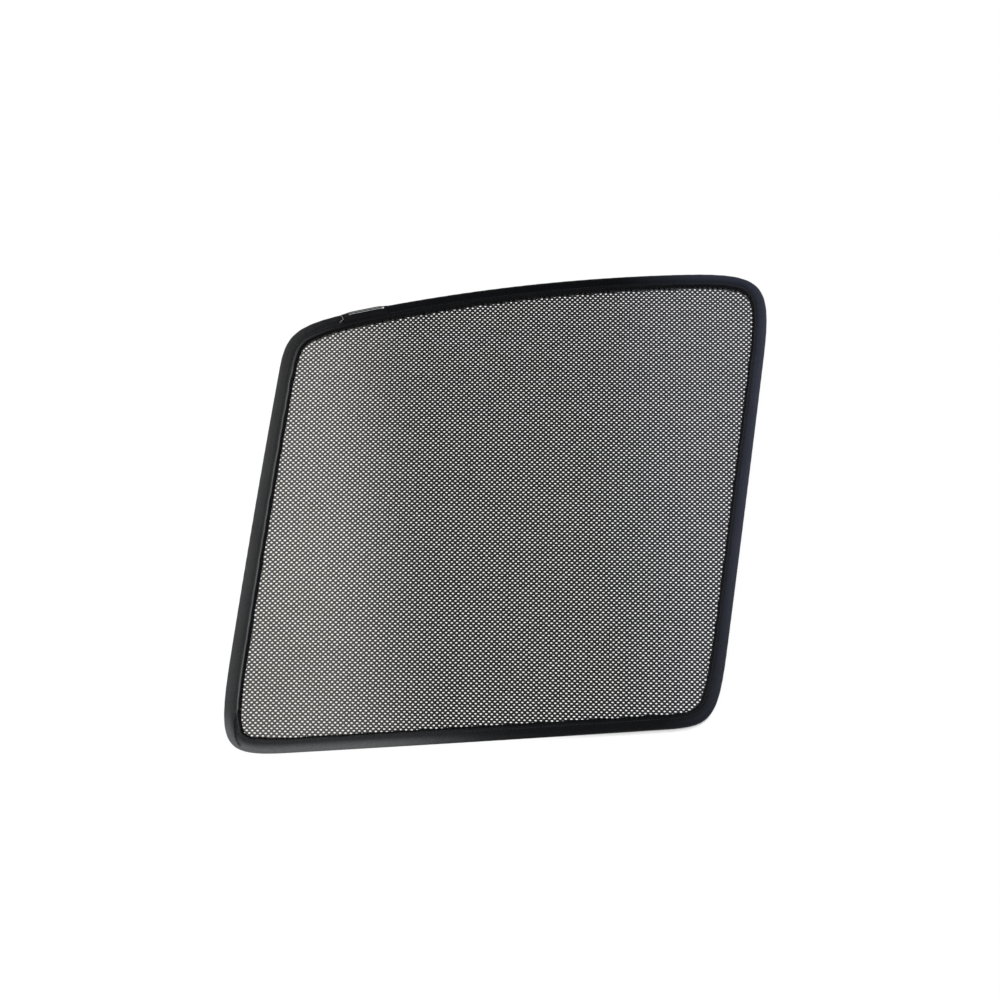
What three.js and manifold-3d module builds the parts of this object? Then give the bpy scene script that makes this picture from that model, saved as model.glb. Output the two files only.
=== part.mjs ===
// Side-window sunshade for a car: a net panel held taut by a spring-wire loop, with a tape folded over the wire
// and sewn to the net's edge, bar magnets in the tape, and a bare tag wrapped over it.
// The shade lies flat. Z is up, X runs along the sill edge, and the origin is the middle of the outline's box
// on the resting face. Lengths are millimetres and angles are degrees.
import * as THREE from 'three';
import { mergeVertices } from 'three/addons/utils/BufferGeometryUtils.js';
import Module from 'manifold-3d';

const wasm = await Module();
wasm.setup();

// Outline: four bowed edges, measured between their sharp corners
const SILL_LENGTH = 396.8;
const LEFT_LENGTH = 391.4;
const RIGHT_LENGTH = 419.2;
const LEFT_LEAN = 10.2;
const RIGHT_LEAN = 12.3;
const SILL_BOW = 0.7;
const RIGHT_BOW = 0.5;
const TOP_BOW = 15.8;
const LEFT_BOW = 1.5;

// Corners: how far each rounding reaches back along the edge before it and on along the edge after it
const SILL_RIGHT_REACH_BEFORE = 40;
const SILL_RIGHT_REACH_AFTER = 69;
const TOP_RIGHT_REACH_BEFORE = 85;
const TOP_RIGHT_REACH_AFTER = 86;
const TOP_LEFT_REACH_BEFORE = 100;
const TOP_LEFT_REACH_AFTER = 41;
const SILL_LEFT_REACH_BEFORE = 89;
const SILL_LEFT_REACH_AFTER = 57;
const CORNER_FULLNESS = 0.91;

// Wire loop and the sleeve that joins its ends
const WIRE_DIAMETER = 3;
const SLEEVE_LENGTH = 22;
const SLEEVE_WALL = 0.5;
const SLEEVE_RAMP = 8;

// Binding tape, folded over the wire with one leg on each face of the net
const BINDING_WIDTH = 13;
const TAPE_WALL = 0.7;
const BULGE_ANGLE = 60;
const SHOULDER_WIDTH = 2.6;
const HEM_WIDTH = 2.4;
const HEM_RISE = 0.45;
const HEM_SLOPE = 0.5;
const CORNER_PUCKER = 0.45;
const SILL_LEFT_PLEAT = 1.1;
const PUCKERED_SHARE = 0.6;

// Net panel: a wall with staggered gaps, and raised strands that slant one way on each face
const NET_WALL = 0.8;
const STRAND_RISE = 0.3;
const STRAND_WIDTH = 3.4;
const STRAND_CREST = 1.4;
const STRAND_SPACING = 4.6;
const STRANDS_PER_BAND = 2;
const GAP_PITCH = 49;
const GAP_WIDTH = 29;
const GAP_HEIGHT = 21;
const ROW_TILT = -5.5;
const NET_BORDER = 3;

// Bar magnets beside the wire
const MAGNET_LENGTH = 20;
const MAGNET_WIDTH = 4.5;
const MAGNET_THICKNESS = 1.4;
const MAGNET_CORNER = 0.6;
const SILL_MAGNETS = 3;
const TOP_MAGNETS = 3;
const SIDE_MAGNETS = 2;

// Tag wrapped over the tape
const TAG_LENGTH = 39.5;
const TAG_WALL = 0.5;
const TAG_FROM_CORNER = 46.4;
const TAG_ANGLE = 210;

// Gap left between neighbouring pieces
const FIT = 0.3;

// How finely curves are cut
const CORNER_STEPS = 14;
const BOWED_STEPS = 10;
const STRAIGHT_STEPS = 3;
const ARC_STEP = 30;
const POCKET_STEPS = 6;
const WIRE_SIDES = 10;
const GAP_SIDES = 8;
const MAGNET_CORNER_STEPS = 2;
const CLEAR_OF_KEY = 2;
const OUTLINE_SAMPLES = 100;
const SHARPEST_MITRE = 0.5;

const WIRE_RADIUS = WIRE_DIAMETER / 2;
const POCKET_RADIUS = WIRE_RADIUS + FIT;
const BULGE_RADIUS = POCKET_RADIUS + TAPE_WALL;
const SLEEVE_RADIUS = POCKET_RADIUS + SLEEVE_WALL;
const SLEEVE_SWELL = SLEEVE_RADIUS + FIT - POCKET_RADIUS;
const NET_THICKNESS = NET_WALL + 2 * STRAND_RISE;
const SLOT_HEIGHT = Math.max(NET_THICKNESS, MAGNET_THICKNESS) + 2 * FIT;
const SLOT_MIDDLE = TAPE_WALL + SLOT_HEIGHT / 2;
const LEG_UNDERSIDE = TAPE_WALL + SLOT_HEIGHT;
const LEG_TOP = LEG_UNDERSIDE + TAPE_WALL;
const MAGNET_INSET = BULGE_RADIUS + POCKET_RADIUS + FIT + MAGNET_WIDTH / 2;
const NET_INSET = MAGNET_INSET + MAGNET_WIDTH / 2 + FIT;

const radians = THREE.MathUtils.degToRad;

const finishes = {
  tape: new THREE.MeshStandardMaterial({ color: 0x26282c, roughness: 0.55, metalness: 0 }),
  net: new THREE.MeshStandardMaterial({ color: 0x3b3936, roughness: 0.8, metalness: 0 }),
  steel: new THREE.MeshStandardMaterial({ color: 0x8f9398, roughness: 0.4, metalness: 1 }),
  brass: new THREE.MeshStandardMaterial({ color: 0xb09a5c, roughness: 0.4, metalness: 1 }),
  nickel: new THREE.MeshStandardMaterial({ color: 0xb9bcc0, roughness: 0.25, metalness: 1 }),
  tag: new THREE.MeshStandardMaterial({ color: 0x17181c, roughness: 0.6, metalness: 0 }),
};

// Outline curves, run anticlockwise from the left end of the sill

function leaningEdge(from, length, lean) {
  const angle = radians(lean);
  return new THREE.Vector2(from.x + length * Math.sin(angle), from.y + length * Math.cos(angle));
}

// One edge between two sharp corners, bowed outwards, less the reach of the rounding at each end
function bowedEdge(from, to, bow, reachStart, reachEnd) {
  const chord = to.clone().sub(from);
  const length = chord.length();
  const outward = new THREE.Vector2(chord.y, -chord.x).divideScalar(length);
  const whole = (share) => from.clone().addScaledVector(chord, share)
    .addScaledVector(outward, 4 * bow * share * (1 - share));
  const slope = (share) => chord.clone().addScaledVector(outward, 4 * bow * (1 - 2 * share));
  const start = reachStart / length;
  const end = 1 - reachEnd / length;
  const control = whole(start).addScaledVector(slope(start), (end - start) / 2);
  return new THREE.QuadraticBezierCurve(whole(start), control, whole(end));
}

// A rounding that leaves one edge and joins the next along their own directions
function corner(before, after) {
  const start = before.getPoint(1);
  const end = after.getPoint(0);
  const leave = before.getTangent(1);
  const join = after.getTangent(0);
  const chord = end.clone().sub(start);
  const turn = leave.cross(join);
  const reachBefore = chord.cross(join) / turn;
  const reachAfter = leave.cross(chord) / turn;
  const first = start.clone().addScaledVector(leave, reachBefore * CORNER_FULLNESS);
  const second = end.clone().addScaledVector(join, -reachAfter * CORNER_FULLNESS);
  return new THREE.CubicBezierCurve(start, first, second, end);
}

const sillLeft = new THREE.Vector2(0, 0);
const sillRight = new THREE.Vector2(SILL_LENGTH, 0);
const topRight = leaningEdge(sillRight, RIGHT_LENGTH, RIGHT_LEAN);
const topLeft = leaningEdge(sillLeft, LEFT_LENGTH, LEFT_LEAN);

const sill = bowedEdge(sillLeft, sillRight, SILL_BOW, SILL_LEFT_REACH_AFTER, SILL_RIGHT_REACH_BEFORE);
const right = bowedEdge(sillRight, topRight, RIGHT_BOW, SILL_RIGHT_REACH_AFTER, TOP_RIGHT_REACH_BEFORE);
const top = bowedEdge(topRight, topLeft, TOP_BOW, TOP_RIGHT_REACH_AFTER, TOP_LEFT_REACH_BEFORE);
const left = bowedEdge(topLeft, sillLeft, LEFT_BOW, TOP_LEFT_REACH_AFTER, SILL_LEFT_REACH_BEFORE);
const topLeftCorner = corner(top, left);

const stretches = [
  { curve: sill, steps: STRAIGHT_STEPS, fold: 0 },
  { curve: corner(sill, right), steps: CORNER_STEPS, fold: CORNER_PUCKER },
  { curve: right, steps: STRAIGHT_STEPS, fold: 0 },
  { curve: corner(right, top), steps: CORNER_STEPS, fold: CORNER_PUCKER },
  { curve: top, steps: BOWED_STEPS, fold: 0 },
  { curve: topLeftCorner, steps: CORNER_STEPS, fold: CORNER_PUCKER },
  { curve: left, steps: STRAIGHT_STEPS, fold: 0 },
  { curve: corner(left, sill), steps: CORNER_STEPS, fold: SILL_LEFT_PLEAT },
];

let outlineLength = 0;
for (const stretch of stretches) {
  stretch.start = outlineLength;
  outlineLength += stretch.curve.getLength();
}

const outlinePoints = stretches.flatMap(({ curve }) => curve.getPoints(OUTLINE_SAMPLES));
const middle = new THREE.Box2().setFromPoints(outlinePoints).getCenter(new THREE.Vector2());

// Distances along the outline of the tag and of the wire sleeve under it
const topLeftStart = stretches.find(({ curve }) => curve === topLeftCorner).start;
const tagEnd = topLeftStart + TOP_LEFT_REACH_BEFORE - TAG_FROM_CORNER;
const tagStart = tagEnd - TAG_LENGTH;
const sleeveMiddle = (tagStart + tagEnd) / 2;
const sleeveStart = sleeveMiddle - SLEEVE_LENGTH / 2;
const sleeveEnd = sleeveMiddle + SLEEVE_LENGTH / 2;

// How much fatter the tape's bulge is over the sleeve
function swellAt(distance) {
  const beyond = Math.abs(distance - sleeveMiddle) - SLEEVE_LENGTH / 2 - FIT;
  return SLEEVE_SWELL * (1 - THREE.MathUtils.smoothstep(beyond, 0, SLEEVE_RAMP));
}

// A station is a place on the outline where a cross-section stands
function station(stretch, share, lift) {
  const { curve, start } = stretch;
  const tangent = curve.getTangentAt(share);
  const distance = start + share * curve.getLength();
  return {
    distance,
    point: curve.getPointAt(share).sub(middle),
    tangent,
    inward: new THREE.Vector2(-tangent.y, tangent.x),
    swell: swellAt(distance),
    lift,
  };
}

function stationAt(distance) {
  const wrapped = THREE.MathUtils.euclideanModulo(distance, outlineLength);
  const stretch = stretches.findLast(({ start }) => start <= wrapped);
  return station(stretch, (wrapped - stretch.start) / stretch.curve.getLength(), 0);
}

// Share of a curve's length at which a step of its own parameter lies, so that steps crowd into tight bends
function lengthShare(curve, step, steps) {
  const lengths = curve.getLengths(steps);
  return lengths[step] / lengths[steps];
}

// Folds stand on every other step of the tight part of a corner
function foldLift(stretch, step) {
  const inBend = Math.abs(step / stretch.steps - 0.5) < PUCKERED_SHARE / 2;
  return inBend && step % 2 === 1 ? stretch.fold : 0;
}

const evenStations = stretches.flatMap((stretch) => Array.from({ length: stretch.steps }, (_, step) =>
  station(stretch, lengthShare(stretch.curve, step, stretch.steps), foldLift(stretch, step))));

const keyStations = [
  sleeveStart - FIT - SLEEVE_RAMP,
  sleeveStart - FIT - SLEEVE_RAMP / 2,
  sleeveStart - FIT,
  sleeveStart,
  sleeveMiddle - FIT / 2,
  sleeveMiddle + FIT / 2,
  sleeveEnd,
  sleeveEnd + FIT,
  sleeveEnd + FIT + SLEEVE_RAMP / 2,
  sleeveEnd + FIT + SLEEVE_RAMP,
  tagStart,
  tagEnd,
].map(stationAt);

const stations = evenStations
  .filter(({ distance }) => keyStations.every((key) => Math.abs(key.distance - distance) > CLEAR_OF_KEY))
  .concat(keyStations)
  .sort((one, other) => one.distance - other.distance);

function stationsBetween(start, end) {
  const slack = FIT / 10;
  return stations.filter(({ distance }) => distance > start - slack && distance < end + slack);
}

// Cross-sections are lists of points: x is the distance in from the outline, y is the height

function arc(x, y, radius, from, to, steps) {
  return Array.from({ length: steps + 1 }, (_, step) => {
    const angle = radians(from + ((to - from) * step) / steps);
    return new THREE.Vector2(x + radius * Math.cos(angle), y + radius * Math.sin(angle));
  });
}

// The tape's outer side from a given angle on the bulge, over the shoulder and the upper leg to its hem
function tapeOver({ swell, lift }, fromAngle) {
  const radius = BULGE_RADIUS + swell;
  const bulgeEnd = BULGE_RADIUS + radius;
  const shoulderEnd = bulgeEnd + SHOULDER_WIDTH;
  const shoulderDrop = (2 * radius - LEG_TOP) / 3;
  const steps = Math.round((fromAngle - BULGE_ANGLE) / ARC_STEP);
  const raised = (x, y) => new THREE.Vector2(x, y + lift * (x - bulgeEnd) / (BINDING_WIDTH - bulgeEnd));
  return [
    ...arc(BULGE_RADIUS, radius, radius, fromAngle, BULGE_ANGLE, steps),
    raised(bulgeEnd, LEG_TOP + shoulderDrop),
    raised(shoulderEnd, LEG_TOP),
    raised(BINDING_WIDTH - HEM_WIDTH, LEG_TOP),
    raised(BINDING_WIDTH - HEM_WIDTH + HEM_SLOPE, LEG_TOP + HEM_RISE),
    raised(BINDING_WIDTH - HEM_SLOPE, LEG_TOP + HEM_RISE),
    raised(BINDING_WIDTH, LEG_TOP),
    raised(BINDING_WIDTH, LEG_UNDERSIDE),
  ];
}

function tapeSection(place) {
  const centre = BULGE_RADIUS + place.swell;
  const pocket = POCKET_RADIUS + place.swell;
  const reach = THREE.MathUtils.clamp((LEG_UNDERSIDE - centre) / pocket, -1, 1);
  const pocketStart = THREE.MathUtils.radToDeg(Math.asin(reach));
  return [
    new THREE.Vector2(BINDING_WIDTH, 0),
    ...tapeOver(place, 270),
    ...arc(BULGE_RADIUS, centre, pocket, pocketStart, 270, POCKET_STEPS),
    new THREE.Vector2(BINDING_WIDTH, TAPE_WALL),
  ];
}

function roundSection(radius) {
  return (place) => arc(BULGE_RADIUS, BULGE_RADIUS + place.swell, radius, 0, 360, WIRE_SIDES).slice(1);
}

// Moves each point of an open line to its left, along the mean of the normals beside it
function shifted(line, distance) {
  return line.map((point, index) => {
    const before = point.clone().sub(line[Math.max(index - 1, 0)]).normalize();
    const after = line[Math.min(index + 1, line.length - 1)].clone().sub(point).normalize();
    const along = before.add(after).normalize();
    const bend = Math.max(along.dot(index > 0 ? before : after), SHARPEST_MITRE);
    const reach = distance / bend;
    return new THREE.Vector2(point.x - along.y * reach, point.y + along.x * reach);
  });
}

function tagSection(place) {
  const under = tapeOver(place, TAG_ANGLE);
  return [...shifted(under, FIT + TAG_WALL), ...shifted(under, FIT).reverse()];
}

// Solids

// Runs a cross-section through a list of stations, closed on itself or with flat ends
function loft(places, section, closed) {
  const sections = places.map((place) => {
    const line = section(place);
    return THREE.ShapeUtils.isClockWise(line) ? line.reverse() : line;
  });
  const positions = sections.flatMap((line, index) => {
    const { point, inward } = places[index];
    return line.flatMap(({ x, y }) => [point.x + inward.x * x, point.y + inward.y * x, y]);
  });
  const sides = sections[0].length;
  const triangles = [];
  for (let row = 0; row < sections.length - (closed ? 0 : 1); row += 1) {
    const here = row * sides;
    const next = ((row + 1) % sections.length) * sides;
    for (let side = 0; side < sides; side += 1) {
      const after = (side + 1) % sides;
      triangles.push(here + side, here + after, next + after, here + side, next + after, next + side);
    }
  }
  if (!closed) {
    const last = (sections.length - 1) * sides;
    for (const [a, b, c] of THREE.ShapeUtils.triangulateShape(sections[0], [])) {
      triangles.push(c, b, a);
    }
    for (const [a, b, c] of THREE.ShapeUtils.triangulateShape(sections.at(-1), [])) {
      triangles.push(last + a, last + b, last + c);
    }
  }
  const geometry = new THREE.BufferGeometry();
  geometry.setAttribute('position', new THREE.Float32BufferAttribute(positions, 3));
  geometry.setIndex(triangles);
  return geometry;
}

function toManifold(geometry) {
  const plain = geometry.clone();
  plain.deleteAttribute('normal');
  plain.deleteAttribute('uv');
  const merged = mergeVertices(plain);
  return new wasm.Manifold(new wasm.Mesh({
    numProp: 3,
    vertProperties: merged.attributes.position.array,
    triVerts: new Uint32Array(merged.index.array),
  }));
}

function fromManifold(solid) {
  const { vertProperties, triVerts } = solid.getMesh();
  const geometry = new THREE.BufferGeometry();
  geometry.setAttribute('position', new THREE.Float32BufferAttribute(vertProperties, 3));
  geometry.setIndex(Array.from(triVerts));
  return geometry;
}

// A flat plate of a given outline between two heights
function plate(points, from, to) {
  const geometry = new THREE.ExtrudeGeometry(new THREE.Shape(points), { depth: to - from, bevelEnabled: false });
  return geometry.translate(0, 0, from);
}

function insetOutline(inset) {
  return stations.map(({ point, inward }) => point.clone().addScaledVector(inward, inset));
}

function inside(point, polygon) {
  let crossings = 0;
  polygon.forEach((a, index) => {
    const b = polygon[(index + 1) % polygon.length];
    const spans = (a.y > point.y) !== (b.y > point.y);
    if (spans && point.x < a.x + ((b.x - a.x) * (point.y - a.y)) / (b.y - a.y)) {
      crossings += 1;
    }
  });
  return crossings % 2 === 1;
}

// Gaps stand in rows, each row shifted by half a pitch, as far as their middles lie within the border
function gapOutlines(border) {
  const half = GAP_PITCH / 2;
  const reach = Math.ceil(outlineLength / 4 / half);
  const origin = new THREE.Vector2();
  const tilt = radians(ROW_TILT);
  const gaps = [];
  for (let row = -reach; row <= reach; row += 1) {
    for (let column = -reach; column <= reach; column += 1) {
      if ((row + column) % 2 === 0) {
        const centre = new THREE.Vector2(column * half, row * half);
        if (inside(centre.clone().rotateAround(origin, tilt), border)) {
          const ellipse = new THREE.EllipseCurve(centre.x, centre.y, GAP_WIDTH / 2, GAP_HEIGHT / 2);
          gaps.push(ellipse.getPoints(GAP_SIDES).slice(1).map((point) => point.rotateAround(origin, tilt)));
        }
      }
    }
  }
  return gaps;
}

// The strands of one face: straight ridges in bands that pass between the gaps
function strandRidges(slant, height, up) {
  const length = outlineLength / 2;
  const root = -NET_WALL / 4;
  const profile = new THREE.Shape([
    new THREE.Vector2(-STRAND_WIDTH / 2, root),
    new THREE.Vector2(STRAND_WIDTH / 2, root),
    new THREE.Vector2(STRAND_CREST / 2, STRAND_RISE),
    new THREE.Vector2(-STRAND_CREST / 2, STRAND_RISE),
  ]);
  const bandPitch = GAP_PITCH / Math.SQRT2;
  const bands = Math.ceil(length / 2 / bandPitch);
  const ridges = [];
  for (let band = -bands; band < bands; band += 1) {
    for (let strand = 0; strand < STRANDS_PER_BAND; strand += 1) {
      const across = (strand - (STRANDS_PER_BAND - 1) / 2) * STRAND_SPACING;
      const ridge = new THREE.ExtrudeGeometry(profile, { depth: length, bevelEnabled: false });
      ridge.translate((band + 0.5) * bandPitch + across, 0, -length / 2);
      ridge.rotateX(up ? Math.PI / 2 : -Math.PI / 2);
      ridge.rotateZ(radians(slant + ROW_TILT));
      ridge.translate(0, 0, height);
      ridges.push(toManifold(ridge));
    }
  }
  return ridges;
}

function netPanel() {
  const edge = insetOutline(NET_INSET);
  const border = insetOutline(BINDING_WIDTH + NET_BORDER);
  const floor = SLOT_MIDDLE - NET_WALL / 2;
  const ceiling = SLOT_MIDDLE + NET_WALL / 2;
  const ridges = [...strandRidges(45, ceiling, true), ...strandRidges(-45, floor, false)];
  const bounds = toManifold(plate(edge, floor - STRAND_RISE, ceiling + STRAND_RISE));
  const strands = wasm.Manifold.union(ridges).intersect(bounds);
  const wall = toManifold(plate(edge, floor, ceiling));
  const low = floor - NET_WALL;
  const high = ceiling + NET_WALL;
  const gaps = gapOutlines(border).map((ring) => toManifold(plate(ring, low, high)));
  const openings = wasm.Manifold.union(gaps).intersect(toManifold(plate(border, low, high)));
  return fromManifold(wall.add(strands).subtract(openings));
}

function wireSleeve() {
  const bore = stationsBetween(sleeveStart - FIT, sleeveEnd + FIT);
  const barrel = toManifold(loft(stationsBetween(sleeveStart, sleeveEnd), roundSection(SLEEVE_RADIUS), false));
  return fromManifold(barrel.subtract(toManifold(loft(bore, roundSection(POCKET_RADIUS), false))));
}

// The wire starts and ends in the middle of the sleeve
function frameWire() {
  const beforeGap = stations.filter(({ distance }) => distance < sleeveMiddle);
  const afterGap = stations.filter(({ distance }) => distance > sleeveMiddle);
  return loft([...afterGap, ...beforeGap], roundSection(WIRE_RADIUS), false);
}

function barMagnet() {
  const x = MAGNET_LENGTH / 2 - MAGNET_CORNER;
  const y = MAGNET_WIDTH / 2 - MAGNET_CORNER;
  const ring = [
    ...arc(x, y, MAGNET_CORNER, 0, 90, MAGNET_CORNER_STEPS),
    ...arc(-x, y, MAGNET_CORNER, 90, 180, MAGNET_CORNER_STEPS),
    ...arc(-x, -y, MAGNET_CORNER, 180, 270, MAGNET_CORNER_STEPS),
    ...arc(x, -y, MAGNET_CORNER, 270, 360, MAGNET_CORNER_STEPS),
  ];
  return plate(ring, -MAGNET_THICKNESS / 2, MAGNET_THICKNESS / 2);
}

// Assembly

const sunshade = new THREE.Group();

function addPart(name, geometry, finish) {
  const mesh = new THREE.Mesh(geometry, finish);
  mesh.name = name;
  sunshade.add(mesh);
  return mesh;
}

function addMagnets(edgeName, curve, count) {
  for (let index = 0; index < count; index += 1) {
    const share = (index + 0.5) / count;
    const tangent = curve.getTangentAt(share);
    const inward = new THREE.Vector2(-tangent.y, tangent.x);
    const place = curve.getPointAt(share).sub(middle).addScaledVector(inward, MAGNET_INSET);
    const magnet = addPart(`${edgeName}_magnet_${index + 1}`, barMagnet(), finishes.nickel);
    magnet.position.set(place.x, place.y, SLOT_MIDDLE);
    magnet.rotation.z = tangent.angle();
  }
}

addPart('edge_binding', loft(stations, tapeSection, true), finishes.tape);
addPart('net_panel', netPanel(), finishes.net);
addPart('frame_wire', frameWire(), finishes.steel);
addPart('wire_sleeve', wireSleeve(), finishes.brass);
addPart('side_tag', loft(stationsBetween(tagStart, tagEnd), tagSection, false), finishes.tag);
addMagnets('sill', sill, SILL_MAGNETS);
addMagnets('right', right, SIDE_MAGNETS);
addMagnets('top', top, TOP_MAGNETS);
addMagnets('left', left, SIDE_MAGNETS);

export default sunshade;
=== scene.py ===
"""Dresses the side-window sunshade: knotted net, tape folded round its edge, bare tag and studio."""

import logging
import math
from collections.abc import Iterable, Sequence
from dataclasses import dataclass, field
from enum import Enum

import bpy
import numpy as np
from mathutils import Matrix, Vector


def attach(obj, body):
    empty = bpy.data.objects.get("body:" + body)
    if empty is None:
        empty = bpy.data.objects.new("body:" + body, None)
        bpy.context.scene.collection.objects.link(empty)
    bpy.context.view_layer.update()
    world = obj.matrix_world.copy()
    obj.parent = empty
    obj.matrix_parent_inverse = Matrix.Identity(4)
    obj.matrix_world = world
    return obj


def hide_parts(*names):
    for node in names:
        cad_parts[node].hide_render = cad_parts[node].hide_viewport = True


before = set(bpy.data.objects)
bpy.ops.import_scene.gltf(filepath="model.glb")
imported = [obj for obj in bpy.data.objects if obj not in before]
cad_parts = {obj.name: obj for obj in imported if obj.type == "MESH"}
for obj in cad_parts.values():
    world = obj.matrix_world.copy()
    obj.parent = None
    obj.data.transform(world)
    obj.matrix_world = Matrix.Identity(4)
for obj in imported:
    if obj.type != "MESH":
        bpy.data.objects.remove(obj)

LOG = logging.getLogger("sunshade")
MM = 0.001
BODY = "root"

Colour = tuple[float, float, float]
Span = tuple[float, float]


# Shader building


class Value:
    """A number that varies over a surface, held as a socket; arithmetic on it adds Math nodes."""

    def __init__(self, shader: "Shader", socket: bpy.types.NodeSocket) -> None:
        """Keeps the socket and the shader that owns it."""
        self.shader = shader
        self.socket = socket

    def __add__(self, other: "Number") -> "Value":
        """This value plus another."""
        return self.shader.maths("ADD", self, other)

    def __radd__(self, other: "Number") -> "Value":
        """Another value plus this one."""
        return self.shader.maths("ADD", other, self)

    def __sub__(self, other: "Number") -> "Value":
        """This value less another."""
        return self.shader.maths("SUBTRACT", self, other)

    def __rsub__(self, other: "Number") -> "Value":
        """Another value less this one."""
        return self.shader.maths("SUBTRACT", other, self)

    def __mul__(self, other: "Number") -> "Value":
        """This value times another."""
        return self.shader.maths("MULTIPLY", self, other)

    def __rmul__(self, other: "Number") -> "Value":
        """Another value times this one."""
        return self.shader.maths("MULTIPLY", other, self)

    def __truediv__(self, other: "Number") -> "Value":
        """This value over another."""
        return self.shader.maths("DIVIDE", self, other)

    def __rtruediv__(self, other: "Number") -> "Value":
        """Another value over this one."""
        return self.shader.maths("DIVIDE", other, self)

    def sine(self) -> "Value":
        """The sine of this value in radians."""
        return self.shader.maths("SINE", self)

    def size(self) -> "Value":
        """This value without its sign."""
        return self.shader.maths("ABSOLUTE", self)

    def largest(self, other: "Number") -> "Value":
        """The larger of this value and another."""
        return self.shader.maths("MAXIMUM", self, other)

    def smallest(self, other: "Number") -> "Value":
        """The smaller of this value and another."""
        return self.shader.maths("MINIMUM", self, other)

    def clamped(self) -> "Value":
        """This value held between 0 and 1."""
        return self.largest(0.0).smallest(1.0)

    def step(self, low: float, high: float) -> "Value":
        """A smooth rise from 0 at low to 1 at high.

        Args:
            low: where the rise starts.
            high: where it ends, which may lie below low.

        Returns:
            The risen value.
        """
        share = ((self - low) / (high - low)).clamped()
        return share * share * (3.0 - 2.0 * share)


Number = Value | float
Feed = Value | bpy.types.NodeSocket | float | Sequence[float]


class Shader:
    """The node tree of one material or of the world."""

    def __init__(self, tree: bpy.types.NodeTree) -> None:
        """Empties the tree, ready for its own nodes."""
        self.tree = tree
        self.tree.nodes.clear()

    def node(
        self,
        kind: str,
        settings: dict[str, object] | None = None,
        inputs: dict[str | int, Feed] | None = None,
    ) -> bpy.types.Node:
        """Adds one node.

        Args:
            kind: the node's type.
            settings: its own settings, set first.
            inputs: the number, colour or link for each socket, by name or place.

        Returns:
            The node.
        """
        made = self.tree.nodes.new(kind)
        for name, setting in (settings or {}).items():
            setattr(made, name, setting)
        for name, feed in (inputs or {}).items():
            socket = made.inputs[name]
            if isinstance(feed, Value):
                self.tree.links.new(feed.socket, socket)
            elif isinstance(feed, bpy.types.NodeSocket):
                self.tree.links.new(feed, socket)
            else:
                socket.default_value = feed
        return made

    def maths(self, operation: str, *operands: Number) -> Value:
        """Adds a Math node.

        Args:
            operation: the node's operation.
            operands: its values, in the order of its sockets.

        Returns:
            Its result.
        """
        made = self.node("ShaderNodeMath", {"operation": operation}, dict(enumerate(operands)))
        return Value(self, made.outputs[0])

    def surface_place(self) -> tuple[Value, Value]:
        """The metres along a piece and across it, from its own map."""
        along, across, _ = self.parts(self.node("ShaderNodeUVMap", {"uv_map": PIECE_MAP}).outputs["UV"])
        return along, across

    def object_place(self) -> bpy.types.NodeSocket:
        """The place on the object, in metres."""
        return self.node("ShaderNodeTexCoord").outputs["Object"]

    def parts(self, place: bpy.types.NodeSocket) -> tuple[Value, Value, Value]:
        """How far east, how far north and how high a place is."""
        split = self.node("ShaderNodeSeparateXYZ", None, {"Vector": place})
        east, north, height = (Value(self, split.outputs[axis]) for axis in "XYZ")
        return east, north, height

    def noise(self, place: bpy.types.NodeSocket, scale: float, detail: float = 2.0) -> Value:
        """Cloudy noise between about 0 and 1.

        Args:
            place: the coordinates that it follows.
            scale: how many clouds there are to a metre.
            detail: how many finer layers there are.

        Returns:
            The noise.
        """
        made = self.node("ShaderNodeTexNoise", None, {"Vector": place, "Scale": scale, "Detail": detail})
        return Value(self, made.outputs["Fac"])

    def stretched(self, place: bpy.types.NodeSocket, scale: Sequence[float]) -> bpy.types.NodeSocket:
        """Coordinates scaled by their own factor each way."""
        made = self.node("ShaderNodeVectorMath", {"operation": "MULTIPLY"}, {0: place, 1: tuple(scale)})
        return made.outputs["Vector"]

    def blend(self, share: Number, first: Feed, second: Feed) -> bpy.types.NodeSocket:
        """A colour between two.

        Args:
            share: 0 for the first colour, 1 for the second.
            first: a colour or a link to one.
            second: a colour or a link to one.

        Returns:
            The mixed colour.
        """
        feeds = [(*feed, 1.0) if isinstance(feed, tuple) else feed for feed in (first, second)]
        made = self.node("ShaderNodeMix", {"data_type": "RGBA"}, {0: share, 6: feeds[0], 7: feeds[1]})
        return made.outputs[2]

    def bump(self, height: Value, metres: float) -> bpy.types.NodeSocket:
        """The normal of a surface with relief.

        Args:
            height: the relief.
            metres: how far a relief of 1 rises.

        Returns:
            The normal.
        """
        made = self.node("ShaderNodeBump", None, {"Height": height, "Distance": metres, "Strength": 1.0})
        return made.outputs["Normal"]

    def surface(self, inputs: dict[str | int, Feed]) -> None:
        """Closes a material with one Principled shader that has the given inputs."""
        shaded = self.node("ShaderNodeBsdfPrincipled", None, inputs)
        self.node("ShaderNodeOutputMaterial", None, {"Surface": shaded.outputs["BSDF"]})


PIECE_MAP = "piece_metres"


def new_material(name: str) -> tuple[bpy.types.Material, Shader]:
    """An empty node material and its shader."""
    material = bpy.data.materials.new(name)
    material.use_nodes = True
    return material, Shader(material.node_tree)


# Finishes


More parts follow.
